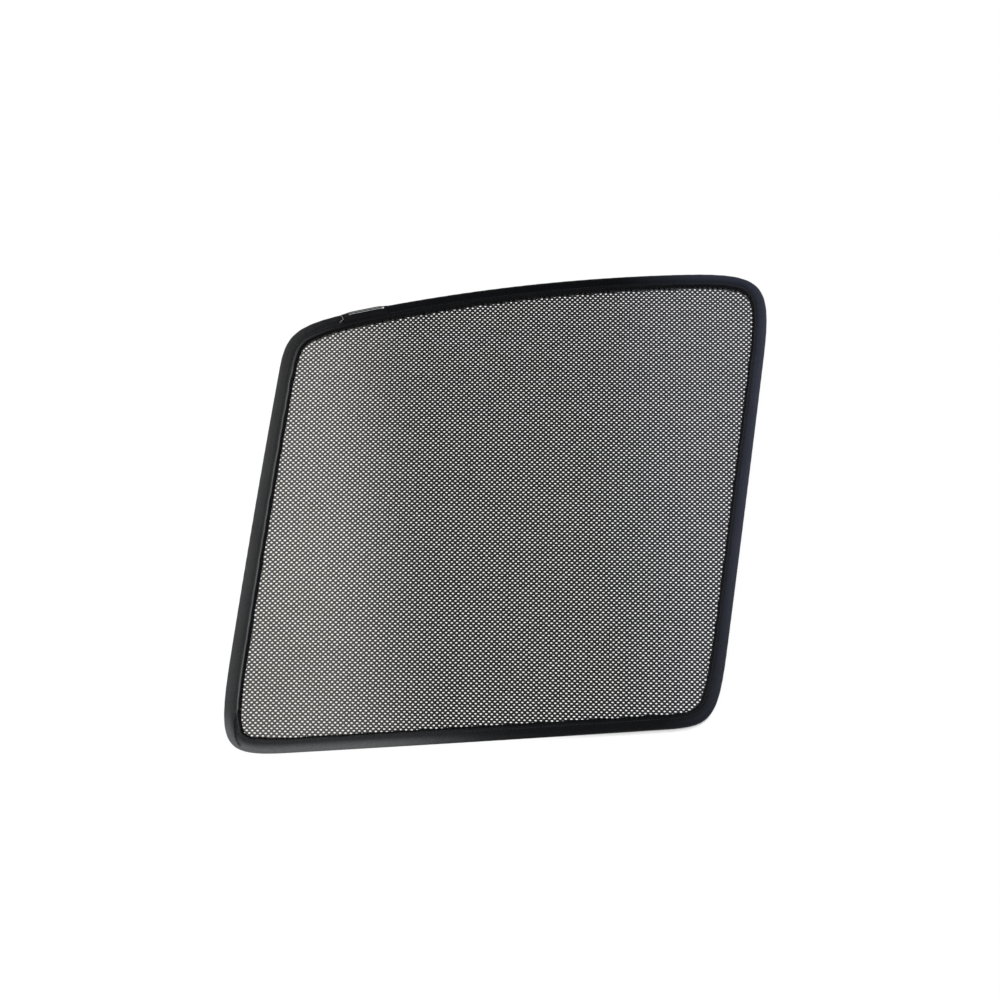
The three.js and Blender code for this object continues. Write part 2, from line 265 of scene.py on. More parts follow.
@dataclass(frozen=True)
class RibbedTape:
    """Black binding tape with fine cross ribs.

    Painted light lightens it at the left and a painted cool light tints it at the right; painted shade
    darkens it inward and in the crevice by the net, and painted highlights run along the left hem and
    the sill. Its spans are in metres: eastward, northward, or inward from its outermost line.
    """

    name: str = "ribbed_tape"
    dark: Colour = (0.0009, 0.001, 0.0014)
    light: Colour = (0.003, 0.0032, 0.0042)
    painted_left_light: Colour = (0.031, 0.032, 0.033)
    painted_cool_light: Colour = (0.029, 0.032, 0.049)
    painted_highlight: Colour = (0.074, 0.076, 0.077)
    painted_left_light_east: Span = (-0.03, -0.19)
    painted_left_light_north: float = 0.27
    painted_cool_light_east: Span = (0.1, 0.2)
    painted_shade_inward: Span = (2.5 * MM, 10.5 * MM)
    painted_shade_share: float = 0.62
    crest: Span = (10.8 * MM, 12.4 * MM)
    crest_edge: float = 0.6 * MM
    crest_east: Span = (-0.11, -0.16)
    crest_south: Span = (-0.188, -0.168)
    crest_north: Span = (0.185, 0.12)
    sill_north: Span = (-0.165, -0.19)
    sill_east: Span = (-0.02, -0.14)
    sill_inward: Span = (10.0 * MM, 3.0 * MM)
    sill_share: float = 0.9
    painted_crevice_shade: Span = (12.2 * MM, 12.9 * MM)
    rib_pitch: float = 1.15 * MM
    yarn_pitch: float = 0.34 * MM
    rib_height: float = 0.13
    lean: float = 0.4
    padded: Span = (3.2 * MM, 9.6 * MM)
    roughness: float = 0.43
    gloss: float = 0.11

    def material(self) -> bpy.types.Material:
        """Builds the material; its relief is in millimetres."""
        material, shader = new_material(self.name)
        along, across = shader.surface_place()
        place = shader.object_place()
        clouds = shader.noise(place, 38.0, 4.0)
        fibres = shader.noise(place, 2600.0, 2.0)
        turn = 2.0 * math.pi
        rib = (along * (turn / self.rib_pitch) + clouds * 2.0).sine() * 0.5 + 0.5
        yarn = (across * (turn / self.yarn_pitch)).sine() * 0.5 + 0.5
        relief = rib * 0.7 + yarn * rib * 0.2 + fibres * 0.3
        shade = (relief * 0.45 + clouds * 0.75 - 0.25).clamped()
        east, north, _ = shader.parts(place)
        # Painted shade: the tape is darker inward from its bulge, and this share also scales the painted
        # light at the left and right.
        outer = (0.6 + 0.4 * shade) * (1.0 - self.painted_shade_share * across.step(*self.painted_shade_inward))
        # Painted light from the left: the tape is lighter towards the left and the bottom.
        painted_left_light = (east + north * self.painted_left_light_north).step(*self.painted_left_light_east) * outer
        tone = shader.blend(painted_left_light, shader.blend(shade, self.dark, self.light), self.painted_left_light)
        # Painted cool light: the tape turns bluer towards the right.
        tone = shader.blend(east.step(*self.painted_cool_light_east) * outer, tone, self.painted_cool_light)
        # Painted highlights: a bright line on the crest of the left hem and a lighter band on the left part
        # of the sill.
        low, high = self.crest
        crest = across.step(low, low + self.crest_edge) * across.step(high, high - self.crest_edge)
        crest = crest * north.step(*self.crest_south) * north.step(*self.crest_north)
        sill = north.step(*self.sill_north) * east.step(*self.sill_east) * across.step(*self.sill_inward)
        painted_highlight = (crest * east.step(*self.crest_east) + sill * self.sill_share).clamped()
        tone = shader.blend(painted_highlight * (0.7 + 0.3 * shade), tone, self.painted_highlight)
        # Painted shade: the inner edge beside the net is blended to the darkest tone, where the crevice lies
        # in shadow.
        tone = shader.blend(across.step(*self.painted_crevice_shade), tone, self.dark)
        low, high = self.padded
        padding = across.largest(low).smallest(high) * (self.lean / MM)
        shader.surface(
            {
                "Base Color": tone,
                "Roughness": self.roughness - 0.1 * rib + 0.14 * fibres,
                "Specular IOR Level": self.gloss,
                "Normal": shader.bump(relief * self.rib_height + padding, MM),
            }
        )
        return material


@dataclass(frozen=True)
class NetYarn:
    """Coated polyester yarn of the net: twisted and dull, with painted warm light at the left, painted cool
    light at the right and painted highlights on its raised crowns.
    """

    name: str = "net_yarn"
    middle: Colour = (0.006, 0.0056, 0.0053)
    painted_warm_light: Colour = (0.06, 0.057, 0.05)
    painted_cool_light: Colour = (0.027, 0.027, 0.035)
    painted_crown_highlight: Colour = (0.034, 0.033, 0.031)
    painted_warm_light_east: Span = (-0.05, -0.17)
    painted_cool_light_east: Span = (0.06, 0.19)
    painted_crown_highlight_height: Span = (2.0 * MM, 2.6 * MM)
    twist_pitch: float = 0.8 * MM
    twist_height: float = 0.05 * MM
    roughness: float = 0.62
    gloss: float = 0.2

    def material(self) -> bpy.types.Material:
        """Builds the material."""
        material, shader = new_material(self.name)
        along, around = shader.surface_place()
        place = shader.object_place()
        east, _, height = shader.parts(place)
        # Painted warm light: the yarn is lighter and warmer towards the left.
        tone = shader.blend(east.step(*self.painted_warm_light_east), self.middle, self.painted_warm_light)
        # Painted cool light: the yarn turns bluer towards the right.
        tone = shader.blend(east.step(*self.painted_cool_light_east), tone, self.painted_cool_light)
        # Painted highlight on the raised crowns of the yarns, mixed with random mottle.
        painted_crown_highlight = height.step(*self.painted_crown_highlight_height)
        mottle = shader.noise(place, 900.0, 3.0)
        tone = shader.blend((painted_crown_highlight * 0.3 + (mottle - 0.5) * 0.4).clamped(), tone, self.painted_crown_highlight)
        twist = ((along / self.twist_pitch + around) * (2.0 * math.pi)).sine() * 0.5 + 0.5
        shader.surface(
            {
                "Base Color": tone,
                "Roughness": self.roughness + 0.2 * (mottle - 0.5),
                "Specular IOR Level": self.gloss,
                "Normal": shader.bump(twist * 0.8 + mottle * 0.3, self.twist_height),
            }
        )
        return material


@dataclass(frozen=True)
class SatinTag:
    """Black satin ribbon with two pale yarns woven in beside its fold."""

    name: str = "satin_tag"
    dark: Colour = (0.0012, 0.0012, 0.0016)
    light: Colour = (0.0048, 0.0048, 0.0058)
    pale: Colour = (0.44, 0.47, 0.46)
    yarn_pitch: float = 0.28 * MM
    pick_pitch: float = 0.45 * MM
    relief: float = 0.03 * MM
    roughness: float = 0.42
    gloss: float = 0.12
    lines: Span = (5.3 * MM, 6.5 * MM)
    line_width: float = 0.28 * MM
    line_start: float = 2.6 * MM
    line_end: float = 33.6 * MM
    line_fade: float = 0.4 * MM
    loop_edge: float = 0.2 * MM
    loop_length: float = 1.9 * MM

    def material(self) -> bpy.types.Material:
        """Builds the material."""
        material, shader = new_material(self.name)
        along, across = shader.surface_place()
        place = shader.object_place()
        turn = 2.0 * math.pi
        warp = (across * (turn / self.yarn_pitch)).sine() * 0.5 + 0.5
        pick = (along * (turn / self.pick_pitch) + across * (turn / self.yarn_pitch / 5.0)).sine() * 0.5 + 0.5
        clouds = shader.noise(place, 120.0, 3.0)
        relief = warp * 0.5 + warp * pick * 0.5
        cloth = shader.blend((relief * 0.6 + clouds * 0.5 - 0.15).clamped(), self.dark, self.light)
        inside = along.step(self.line_start, self.line_start + self.line_fade)
        inside = inside * along.step(self.line_end, self.line_end - self.line_fade)
        line = 0.0
        for middle in self.lines:
            line = line + (across - middle).size().step(self.line_width * 0.7, self.line_width * 0.3)
        worn = shader.noise(place, 420.0, 2.0).step(0.3, 0.5)
        first, last = self.lines
        loop = across.step(first - self.loop_edge, first) * across.step(last + self.loop_edge, last)
        loop = loop * along.step(self.line_start + self.loop_length, self.line_start + self.loop_length * 0.7)
        pale = (line * (0.45 + 0.4 * worn) + loop).clamped() * inside
        shader.surface(
            {
                "Base Color": shader.blend(pale, cloth, self.pale),
                "Roughness": self.roughness + 0.25 * pale + 0.1 * clouds,
                "Specular IOR Level": self.gloss,
                "Normal": shader.bump(relief, self.relief),
            }
        )
        return material


@dataclass(frozen=True)
class SewingThread:
    """Twisted sewing thread."""

    name: str
    dark: Colour
    light: Colour
    twist_pitch: float = 0.5 * MM
    relief: float = 0.04 * MM
    roughness: float = 0.6

    def material(self) -> bpy.types.Material:
        """Builds the material."""
        material, shader = new_material(self.name)
        along, around = shader.surface_place()
        mottle = shader.noise(shader.object_place(), 1800.0, 2.0)
        twist = ((along / self.twist_pitch + around) * (2.0 * math.pi)).sine() * 0.5 + 0.5
        shader.surface(
            {
                "Base Color": shader.blend((twist * 0.6 + mottle * 0.4).clamped(), self.dark, self.light),
                "Roughness": self.roughness + 0.15 * mottle,
                "Specular IOR Level": 0.3,
                "Normal": shader.bump(twist, self.relief),
            }
        )
        return material


@dataclass(frozen=True)
class DrawnMetal:
    """Metal with fine drawn or rolled lines and a little tarnish."""

    name: str
    bright: Colour
    tarnished: Colour
    grain: tuple[float, float, float]
    roughness: float = 0.3
    relief: float = 0.01 * MM

    def material(self) -> bpy.types.Material:
        """Builds the material."""
        material, shader = new_material(self.name)
        place = shader.object_place()
        lines = shader.noise(shader.stretched(place, self.grain), 1.0, 4.0)
        spots = shader.noise(place, 160.0, 4.0).step(0.5, 0.75)
        shader.surface(
            {
                "Base Color": shader.blend(spots * 0.7, self.bright, self.tarnished),
                "Metallic": 1.0,
                "Roughness": self.roughness + 0.12 * lines + 0.2 * spots,
                "Normal": shader.bump(lines, self.relief),
            }
        )
        return material


@dataclass(frozen=True)
class WhiteSweep:
    """White paper over a light table, which doesn't reach under the right half of the sill."""

    name: str = "white_sweep"
    paper: Colour = (0.93, 0.93, 0.93)
    lift: float = 0.95
    plain_back: Span = (-0.196, -0.202)
    plain_front: Span = (-0.241, -0.216)
    plain_left: Span = (0.0, 0.08)
    plain_right: Span = (0.185, 0.155)

    def material(self) -> bpy.types.Material:
        """Builds the material."""
        material, shader = new_material(self.name)
        seen = seen_directly(shader)
        place = shader.object_place()
        grain = shader.noise(place, 300.0, 2.0)
        east, north, _ = shader.parts(place)
        plain = north.step(*self.plain_back) * north.step(*self.plain_front)
        plain = plain * east.step(*self.plain_left) * east.step(*self.plain_right)
        lift = self.lift * (1.0 - plain)
        paper = shader.blend(grain, tuple(part * 0.98 for part in self.paper), self.paper)
        sheet = shader.node("ShaderNodeBsdfDiffuse", None, {"Color": paper})
        white = shader.node("ShaderNodeEmission", None, {"Strength": 1.0})
        mixed = shader.node(
            "ShaderNodeMixShader",
            None,
            {0: seen * lift, 1: sheet.outputs["BSDF"], 2: white.outputs["Emission"]},
        )
        shader.node("ShaderNodeOutputMaterial", None, {"Surface": mixed.outputs["Shader"]})
        return material


def seen_directly(shader: Shader) -> Value:
    """1 for the rays that show a backdrop: the camera's own, and those that gloss and glass send on."""
    path = shader.node("ShaderNodeLightPath")
    camera, glossy, transmission = (
        Value(shader, path.outputs[f"Is {ray} Ray"]) for ray in ("Camera", "Glossy", "Transmission")
    )
    return (camera + glossy + transmission).clamped()


# Outline


@dataclass(frozen=True)
class Sway:
    """A smooth unevenness round the outline: its seed, fewest and most waves, and about its reach."""

    seed: int
    fewest: int
    most: int
    reach: float


@dataclass(frozen=True)
class Bend:
    """How far one corner's rounding reaches along the edges before and after it, in millimetres."""

    before: float
    after: float


def bernstein(points: np.ndarray, shares: np.ndarray) -> tuple[np.ndarray, np.ndarray]:
    """Points and slopes of a Bezier curve.

    Args:
        points: its control points.
        shares: where along its parameter, from 0 to 1.

    Returns:
        The points there, and the slopes there.
    """
    degree = len(points) - 1
    t = shares[:, None]
    place = sum(
        math.comb(degree, k) * t**k * (1 - t) ** (degree - k) * points[k] for k in range(degree + 1)
    )
    slope = sum(
        degree * math.comb(degree - 1, k) * t**k * (1 - t) ** (degree - 1 - k) * (points[k + 1] - points[k])
        for k in range(degree)
    )
    return place, slope


def cross(one: np.ndarray, other: np.ndarray) -> float:
    """The turn from one flat direction to another."""
    return float(one[0] * other[1] - one[1] * other[0])


def unit(direction: np.ndarray) -> np.ndarray:
    """A direction at length 1."""
    return direction / np.linalg.norm(direction)


class Stretch(Enum):
    """The stretches of the outline, anticlockwise from the left end of the sill."""

    SILL = 0
    SILL_RIGHT = 1
    RIGHT = 2
    TOP_RIGHT = 3
    TOP = 4
    TOP_LEFT = 5
    LEFT = 6
    SILL_LEFT = 7


@dataclass
class Outline:
    """The shade's outer edge on the floor: four bowed edges and four long roundings, in millimetres."""

    sill_length: float = 396.8
    left_length: float = 391.4
    right_length: float = 419.2
    left_lean: float = 10.2
    right_lean: float = 12.3
    sill_bow: float = 0.7
    right_bow: float = 0.5
    top_bow: float = 15.8
    left_bow: float = 1.5
    sill_right: Bend = Bend(40, 69)
    top_right: Bend = Bend(85, 86)
    top_left: Bend = Bend(100, 41)
    sill_left: Bend = Bend(89, 57)
    fullness: float = 0.91
    samples: int = 1500
    starts: dict[Stretch, float] = field(init=False)
    ends: dict[Stretch, float] = field(init=False)
    length: float = field(init=False)
    runs: np.ndarray = field(init=False)
    points: np.ndarray = field(init=False)
    tangents: np.ndarray = field(init=False)

    def __post_init__(self) -> None:
        """Samples the whole outline finely and puts its box's centre on the origin."""
        near_left = np.zeros(2)
        near_right = np.array([self.sill_length, 0.0])
        far_right = self._leaning(near_right, self.right_length, self.right_lean)
        far_left = self._leaning(near_left, self.left_length, self.left_lean)
        corners = [near_left, near_right, far_right, far_left]
        bends = [self.sill_left, self.sill_right, self.top_right, self.top_left]
        bows = [self.sill_bow, self.right_bow, self.top_bow, self.left_bow]
        edges = []
        for index, bow in enumerate(bows):
            after = (index + 1) % len(corners)
            cuts = bends[index].after, bends[after].before
            edges.append(self._edge(corners[index], corners[after], bow, *cuts))
        curves: list[np.ndarray] = []
        for index, edge in enumerate(edges):
            curves += [edge, self._rounding(edge, edges[(index + 1) % len(edges)])]
        shares = np.linspace(0.0, 1.0, self.samples + 1)
        places, slopes, runs = [], [], []
        self.starts, self.ends = {}, {}
        self.length = 0.0
        for stretch, curve in zip(Stretch, curves):
            place, slope = bernstein(curve, shares)
            steps = np.linalg.norm(np.diff(place, axis=0), axis=1)
            self.starts[stretch] = self.length
            places.append(place[:-1])
            slopes.append(slope[:-1])
            runs.append(self.length + np.concatenate([[0.0], np.cumsum(steps)[:-1]]))
            self.length += float(steps.sum())
            self.ends[stretch] = self.length
        self.runs = np.concatenate(runs)
        points = np.concatenate(places)
        self.points = points - (points.min(axis=0) + points.max(axis=0)) / 2
        slopes_all = np.concatenate(slopes)
        self.tangents = slopes_all / np.linalg.norm(slopes_all, axis=1)[:, None]

    @staticmethod
    def _leaning(start: np.ndarray, length: float, lean: float) -> np.ndarray:
        """The far end of an edge that leans clockwise from straight up."""
        angle = math.radians(lean)
        return start + length * np.array([math.sin(angle), math.cos(angle)])

    @staticmethod
    def _edge(
        start: np.ndarray, end: np.ndarray, bow: float, cut_start: float, cut_end: float
    ) -> np.ndarray:
        """One bowed edge, less the reach of the rounding at each end.

        Args:
            start: the sharp corner that it leaves.
            end: the sharp corner that it meets.
            bow: how far its middle stands out from its chord.
            cut_start: the reach of the first rounding.
            cut_end: the reach of the second.

        Returns:
            The three control points of the curve.
        """
        chord = end - start
        length = float(np.linalg.norm(chord))
        outward = np.array([chord[1], -chord[0]]) / length
        first, last = cut_start / length, 1.0 - cut_end / length

        def place(share: float) -> np.ndarray:
            """A point of the whole edge."""
            return start + chord * share + outward * 4 * bow * share * (1 - share)

        slope = chord + outward * 4 * bow * (1 - 2 * first)
        return np.array([place(first), place(first) + slope * (last - first) / 2, place(last)])

    def _rounding(self, before: np.ndarray, after: np.ndarray) -> np.ndarray:
        """The control points of the rounding that joins two edges along their own directions."""
        start, end = before[-1], after[0]
        leave, join = unit(before[-1] - before[-2]), unit(after[1] - after[0])
        chord = end - start
        turn = cross(leave, join)
        first = start + leave * cross(chord, join) / turn * self.fullness
        second = end - join * cross(leave, chord) / turn * self.fullness
        return np.array([start, first, second, end])

    def at(self, runs: np.ndarray) -> tuple[np.ndarray, np.ndarray]:
        """Points and inward directions at distances along the outline.

        Args:
            runs: distances from the left end of the sill.

        Returns:
            The points and the directions, each (n, 2).
        """
        wrapped = np.mod(runs, self.length)
        columns = [self.points[:, 0], self.points[:, 1], self.tangents[:, 0], self.tangents[:, 1]]
        x, y, tx, ty = (np.interp(wrapped, self.runs, column, period=self.length) for column in columns)
        size = np.hypot(tx, ty)
        return np.column_stack([x, y]), np.column_stack([-ty / size, tx / size])

    def depth(self, places: np.ndarray, batch: int = 2000) -> np.ndarray:
        """How far places lie in from the outline, below zero outside it.

        Args:
            places: points, (n, 2).
            batch: how many are worked at once.

        Returns:
            The depths.
        """
        coarse = 6
        rim, along = self.points[::coarse], self.tangents[::coarse]
        depths = []
        for start in range(0, len(places), batch):
            some = places[start : start + batch]
            offsets = some[:, None, :] - rim[None, :, :]
            nearest = np.argmin((offsets**2).sum(axis=2), axis=1)
            offset = some - rim[nearest]
            depths.append(along[nearest][:, 0] * offset[:, 1] - along[nearest][:, 1] * offset[:, 0])
        return np.concatenate(depths)

    def wander(self, runs: np.ndarray, sway: Sway) -> np.ndarray:
        """An unevenness at distances along the outline, which closes on itself round it.

        Args:
            runs: the distances.
            sway: which unevenness.

        Returns:
            The unevenness at each distance.
        """
        rng = np.random.default_rng(sway.seed)
        total = np.zeros_like(runs)
        terms = 7
        for count in rng.integers(sway.fewest, sway.most, terms):
            phase = rng.uniform(0.0, 2 * math.pi)
            total += rng.uniform(0.5, 1.0) * np.sin(2 * math.pi * count * runs / self.length + phase)
        return total * sway.reach / math.sqrt(terms)


def smooth_rise(value: np.ndarray, low: float, high: float) -> np.ndarray:
    """A smooth rise from 0 at low to 1 at high."""
    share = np.clip((value - low) / (high - low), 0.0, 1.0)
    return share * share * (3 - 2 * share)


# Meshes


@dataclass
class MeshParts:
    """Points, faces and per-corner map of a mesh in the making; points in millimetres, map in metres."""

    points: list[np.ndarray] = field(default_factory=list)
    quads: list[np.ndarray] = field(default_factory=list)
    maps: list[np.ndarray] = field(default_factory=list)
    caps: list[list[int]] = field(default_factory=list)
    facets: list[np.ndarray] = field(default_factory=list)
    count: int = 0

    def add_tube(self, rings: np.ndarray, along: np.ndarray, across: np.ndarray, closed: bool) -> None:
        """Adds a skin through rings of points.

        Args:
            rings: (stations, sides, 3).
            along: the map's first number at each station, and once more after the last if closed.
            across: its second number at each side, and once more after the last.
            closed: whether the last ring joins the first; otherwise both ends are capped.
        """
        stations, sides = rings.shape[:2]
        last = stations if closed else stations - 1
        row = np.arange(last)[:, None]
        side = np.arange(sides)[None, :]
        after_row = (row + 1) % stations
        after_side = (side + 1) % sides
        corners = [
            row * sides + side,
            row * sides + after_side,
            after_row * sides + after_side,
            after_row * sides + side,
        ]
        quads = np.stack([np.broadcast_to(corner, (last, sides)) for corner in corners], axis=-1)
        self.quads.append(quads.reshape(-1, 4) + self.count)
        first, second = np.broadcast_arrays(along[:-1, None][:last], across[None, :-1])
        after_first, after_second = np.broadcast_arrays(along[1:, None][:last], across[None, 1:])
        corner_map = np.stack(
            [
                np.stack([first, second], axis=-1),
                np.stack([first, after_second], axis=-1),
                np.stack([after_first, after_second], axis=-1),
                np.stack([after_first, second], axis=-1),
            ],
            axis=2,
        )
        self.maps.append(corner_map.reshape(-1, 2))
        if not closed:
            self.caps.append([self.count + index for index in reversed(range(sides))])
            self.caps.append([self.count + (stations - 1) * sides + index for index in range(sides)])
        self.points.append(rings.reshape(-1, 3))
        self.count += stations * sides

    def add_lozenges(self, lozenges: np.ndarray) -> None:
        """Adds eight-sided lozenges.

        Args:
            lozenges: (count, 6, 3), each with four points in turn round its waist, its top and its foot.
        """
        waist = np.arange(4)
        after = (waist + 1) % 4
        upper = np.column_stack([waist, after, np.full(4, 4)])
        lower = np.column_stack([after, waist, np.full(4, 5)])
        faces = np.concatenate([upper, lower])
        starts = self.count + 6 * np.arange(len(lozenges))
        self.facets.append((faces[None, :, :] + starts[:, None, None]).reshape(-1, 3))
        self.points.append(lozenges.reshape(-1, 3))
        self.count += 6 * len(lozenges)

    def build(self, name: str, finish: bpy.types.Material, sharp: float | None = None) -> bpy.types.Object:
        """Makes the object.

        Args:
            name: its name.
            finish: its material.
            sharp: the angle in degrees past which an edge stays sharp, or None for all smooth.

        Returns:
            The object, linked to the scene.
        """
        mesh = bpy.data.meshes.new(name)
        points = np.concatenate(self.points) * MM
        facets = [facet for group in self.facets for facet in group.tolist()]
        quads = [quad for group in self.quads for quad in group.tolist()]
        faces = quads + self.caps + facets
        mesh.from_pydata(points.tolist(), [], faces)
        layer = mesh.uv_layers.new(name=PIECE_MAP)
        unmapped = sum(len(face) for face in self.caps + facets)
        flat_map = np.concatenate([*self.maps, np.zeros((unmapped, 2))])
        layer.uv.foreach_set("vector", flat_map.astype(np.float32).ravel())
        mesh.materials.append(finish)
        mesh.shade_smooth()
        if sharp is not None:
            mesh.set_sharp_from_angle(angle=math.radians(sharp))
        piece = bpy.data.objects.new(name, mesh)
        bpy.context.scene.collection.objects.link(piece)
        return piece


def ring_lengths(ring: np.ndarray) -> np.ndarray:
    """Distances round a ring of points from its first, and back to it, in metres."""
    steps = np.linalg.norm(np.roll(ring, -1, axis=0) - ring, axis=1)
    return np.concatenate([[0.0], np.cumsum(steps)]) * MM


# Edge tape


@dataclass(frozen=True)
class Fold:
    """A ridge in the tape's upper leg: where it meets the hem, its width and height, and where it fades."""

    run: float
    width: float
    height: float
    fade: float
    slant: float


@dataclass(frozen=True)
class Hump:
    """A smooth ridge, or a groove where its height is below zero: its middle, width and height."""

    middle: float
    width: float
    height: float

    def at(self, place: np.ndarray) -> np.ndarray:
        """Its height at places on the same scale as its middle."""
        return self.height * np.exp(-(((place - self.middle) / self.width) ** 2))


@dataclass(frozen=True)
class Pleat:
    """The fold at the left end of the sill, where the left tape laps over the sill's own; in millimetres.

    Past is the distance along the outline from where the corner's rounding starts. Deep is the distance
    in from the outline, and inward is how much deeper than the pleat's own line a point lies.
    """

    line: tuple[tuple[float, float], ...] = (
        (44.0, 13.5),
        (50.0, 10.0),
        (58.3, 7.6),
        (64.0, 6.9),
        (70.3, 6.0),
        (77.0, 4.2),
        (82.9, 2.4),
        (87.0, 0.9),
        (90.0, 0.0),
    )
    reach: Span = (36.0, 106.0)
    begins: Span = (38.0, 56.0)
    ends: Span = (84.0, 92.0)
    outer_face: Hump = Hump(0.0, 1.5, 0.9)
    inner_face: Hump = Hump(0.0, 0.6, 0.9)
    crease: Hump = Hump(1.6, 0.75, -1.2)
    hem_crease: Hump = Hump(10.0, 1.1, -0.55)
    hem_crease_ends: Span = (74.0, 84.0)
    second: Hump = Hump(3.6, 0.8, 0.5)
    second_begins: Span = (70.0, 80.0)
    second_ends: Span = (92.0, 100.0)
    gather: Hump = Hump(90.5, 1.3, 0.3)
    gather_deep: Span = (8.0, 11.0)
    dent: Hump = Hump(100.0, 1.5, -0.25)
    dent_deep: Span = (3.0, 7.0)
    dent_middle: float = 7.6
    dent_slant: float = 0.8
    off_edge: Span = (0.1, 2.2)

    def push(self, past: np.ndarray, deep: np.ndarray) -> np.ndarray:
        """How far the pleat pushes points of the tape out along their normals.

        Args:
            past: their distances past the start of the rounding.
            deep: how deep they lie.

        Returns:
            The push, below zero in its creases.
        """
        places, depths = np.array(self.line).T
        inward = deep - np.interp(past, places, depths)
        held = smooth_rise(past, *self.begins) * (1 - smooth_rise(past, *self.ends))
        lap = np.where(inward < 0.0, self.outer_face.at(inward), self.inner_face.at(inward))
        crease = self.crease.at(inward)
        crease = crease + self.hem_crease.at(deep) * (1 - smooth_rise(past, *self.hem_crease_ends))
        later = smooth_rise(past, *self.second_begins) * (1 - smooth_rise(past, *self.second_ends))
        second = self.second.at(inward) * later
        gather = self.gather.at(past) * smooth_rise(deep, *self.gather_deep)
        slanted = past + self.dent_slant * (deep - self.dent_middle)
        dent = self.dent.at(slanted) * smooth_rise(deep, *self.dent_deep)
        return ((lap + crease) * held + second + gather + dent) * smooth_rise(deep, *self.off_edge)


@dataclass
class EdgeTape:
    """The tape folded over the wire, with a leg on each face of the net; sizes in millimetres."""

    outline: Outline
    width: float = 13.0
    bulge: float = 2.5
    bulge_end: float = 75.0
    bulge_step: float = 15.0
    wall: float = 0.7
    pocket: float = 1.8
    swell: float = 0.8
    swell_stretch: float = 0.4
    swell_leg: Span = (9.0, 3.0)
    swell_deep: float = 0.6
    swell_high: float = 1.4
    pocket_stretch: float = 0.7
    pocket_angles: Span = (6.0, 270.0)
    pocket_points: int = 11
    sole: tuple[float, ...] = (13.0, 11.6, 9.5, 7.0, 4.6)
    upper_lining: tuple[float, ...] = (11.3, 8.6, 5.2)
    upper_lining_height: float = 2.66
    lower_lining: tuple[float, ...] = (6.0, 9.5, 13.0)
    swell_length: float = 22.6
    swell_ramp: float = 8.0
    tag_from_corner: float = 46.4
    tag_length: float = 39.5
    leg_line: tuple[tuple[float, float], ...] = (
        (3.75, 4.78),
        (4.4, 4.64),
        (5.1, 4.5),
        (5.8, 4.4),
        (6.5, 4.32),
        (7.2, 4.26),
        (7.8, 4.18),
        (8.3, 4.0),
        (8.8, 4.16),
        (9.3, 4.5),
        (9.8, 4.8),
        (10.2, 4.84),
        (10.7, 4.62),
        (11.3, 4.1),
        (11.7, 3.4),
        (12.0, 3.02),
        (12.9, 2.93),
        (13.0, 2.72),
    )
    narrowing: float = 1.1
    narrows: Span = (-40.0, 30.0)
    widens: Span = (40.0, 120.0)
    under_edge: Span = (11.0, 13.0)
    trim_limits: Span = (-2.2, 1.6)
    spread: tuple[tuple[Stretch, float, float], ...] = (
        (Stretch.SILL, 0.0, -0.2),
        (Stretch.SILL, 0.5, 0.1),
        (Stretch.SILL, 1.0, -0.5),
        (Stretch.SILL_RIGHT, 0.5, -0.5),
        (Stretch.RIGHT, 0.0, -1.0),
        (Stretch.RIGHT, 1.0, -1.0),
        (Stretch.TOP_RIGHT, 1.0, -0.4),
        (Stretch.TOP, 0.6, -0.4),
        (Stretch.TOP, 1.0, 0.4),
        (Stretch.TOP_LEFT, 0.6, 1.8),
        (Stretch.LEFT, 0.05, 0.6),
        (Stretch.LEFT, 0.5, 0.6),
        (Stretch.LEFT, 1.0, 0.8),
        (Stretch.SILL_LEFT, 0.5, 0.6),
    )
    pleat: Pleat = Pleat()
    gathers: tuple[tuple[Stretch, float, float, float], ...] = (
        (Stretch.SILL_RIGHT, 0.3, 0.72, 0.2),
        (Stretch.TOP_RIGHT, 0.34, 0.68, 0.26),
        (Stretch.TOP_LEFT, 0.62, 0.95, 0.2),
        (Stretch.SILL_LEFT, 0.56, 0.86, 0.42),
    )
    fold_width: Span = (0.8, 1.7)
    fold_share: Span = (0.45, 1.0)
    fold_fade: Span = (3.2, 7.0)
    fold_ramp: float = 5.0
    fold_slant: Span = (-0.25, 0.25)
    fold_gap: Span = (3.2, 6.2)
    inner_leg: Span = (4.0, 11.0)
    inner_edge: Span = (8.0, 10.0)
    off_floor: Span = (1.0, 2.6)
    leg_sway: Sway = Sway(12, 24, 70, 0.1)
    bulge_sway: Sway = Sway(13, 60, 160, 0.05)
    hem_sway: Sway = Sway(14, 30, 110, 0.22)
    under_sway: Sway = Sway(15, 16, 60, 0.25)
    straight_step: float = 2.4
    bent_step: float = 0.85
    pleated_step: float = 0.4
    seed: int = 11
    tag_start: float = field(init=False)
    tag_end: float = field(init=False)
    folds: list[Fold] = field(init=False)

    def __post_init__(self) -> None:
        """Places the tag and draws the gathers."""
        corner = self.outline.starts[Stretch.TOP_LEFT]
        self.tag_end = corner + self.outline.top_left.before - self.tag_from_corner
        self.tag_start = self.tag_end - self.tag_length
        self.folds = self._gathers()

    def _gathers(self) -> list[Fold]:
        """The gathers that the tape's inner leg makes round each corner."""
        rng = np.random.default_rng(self.seed)
        folds = []
        for stretch, low, high, height in self.gathers:
            start, end = self.outline.starts[stretch], self.outline.ends[stretch]
            run = start + low * (end - start)
            while run < start + high * (end - start):
                folds.append(
                    Fold(
                        run=run,
                        width=rng.uniform(*self.fold_width),
                        height=height * rng.uniform(*self.fold_share),
                        fade=rng.uniform(*self.fold_fade),
                        slant=rng.uniform(*self.fold_slant),
                    )
                )
                run += rng.uniform(*self.fold_gap)
        return folds

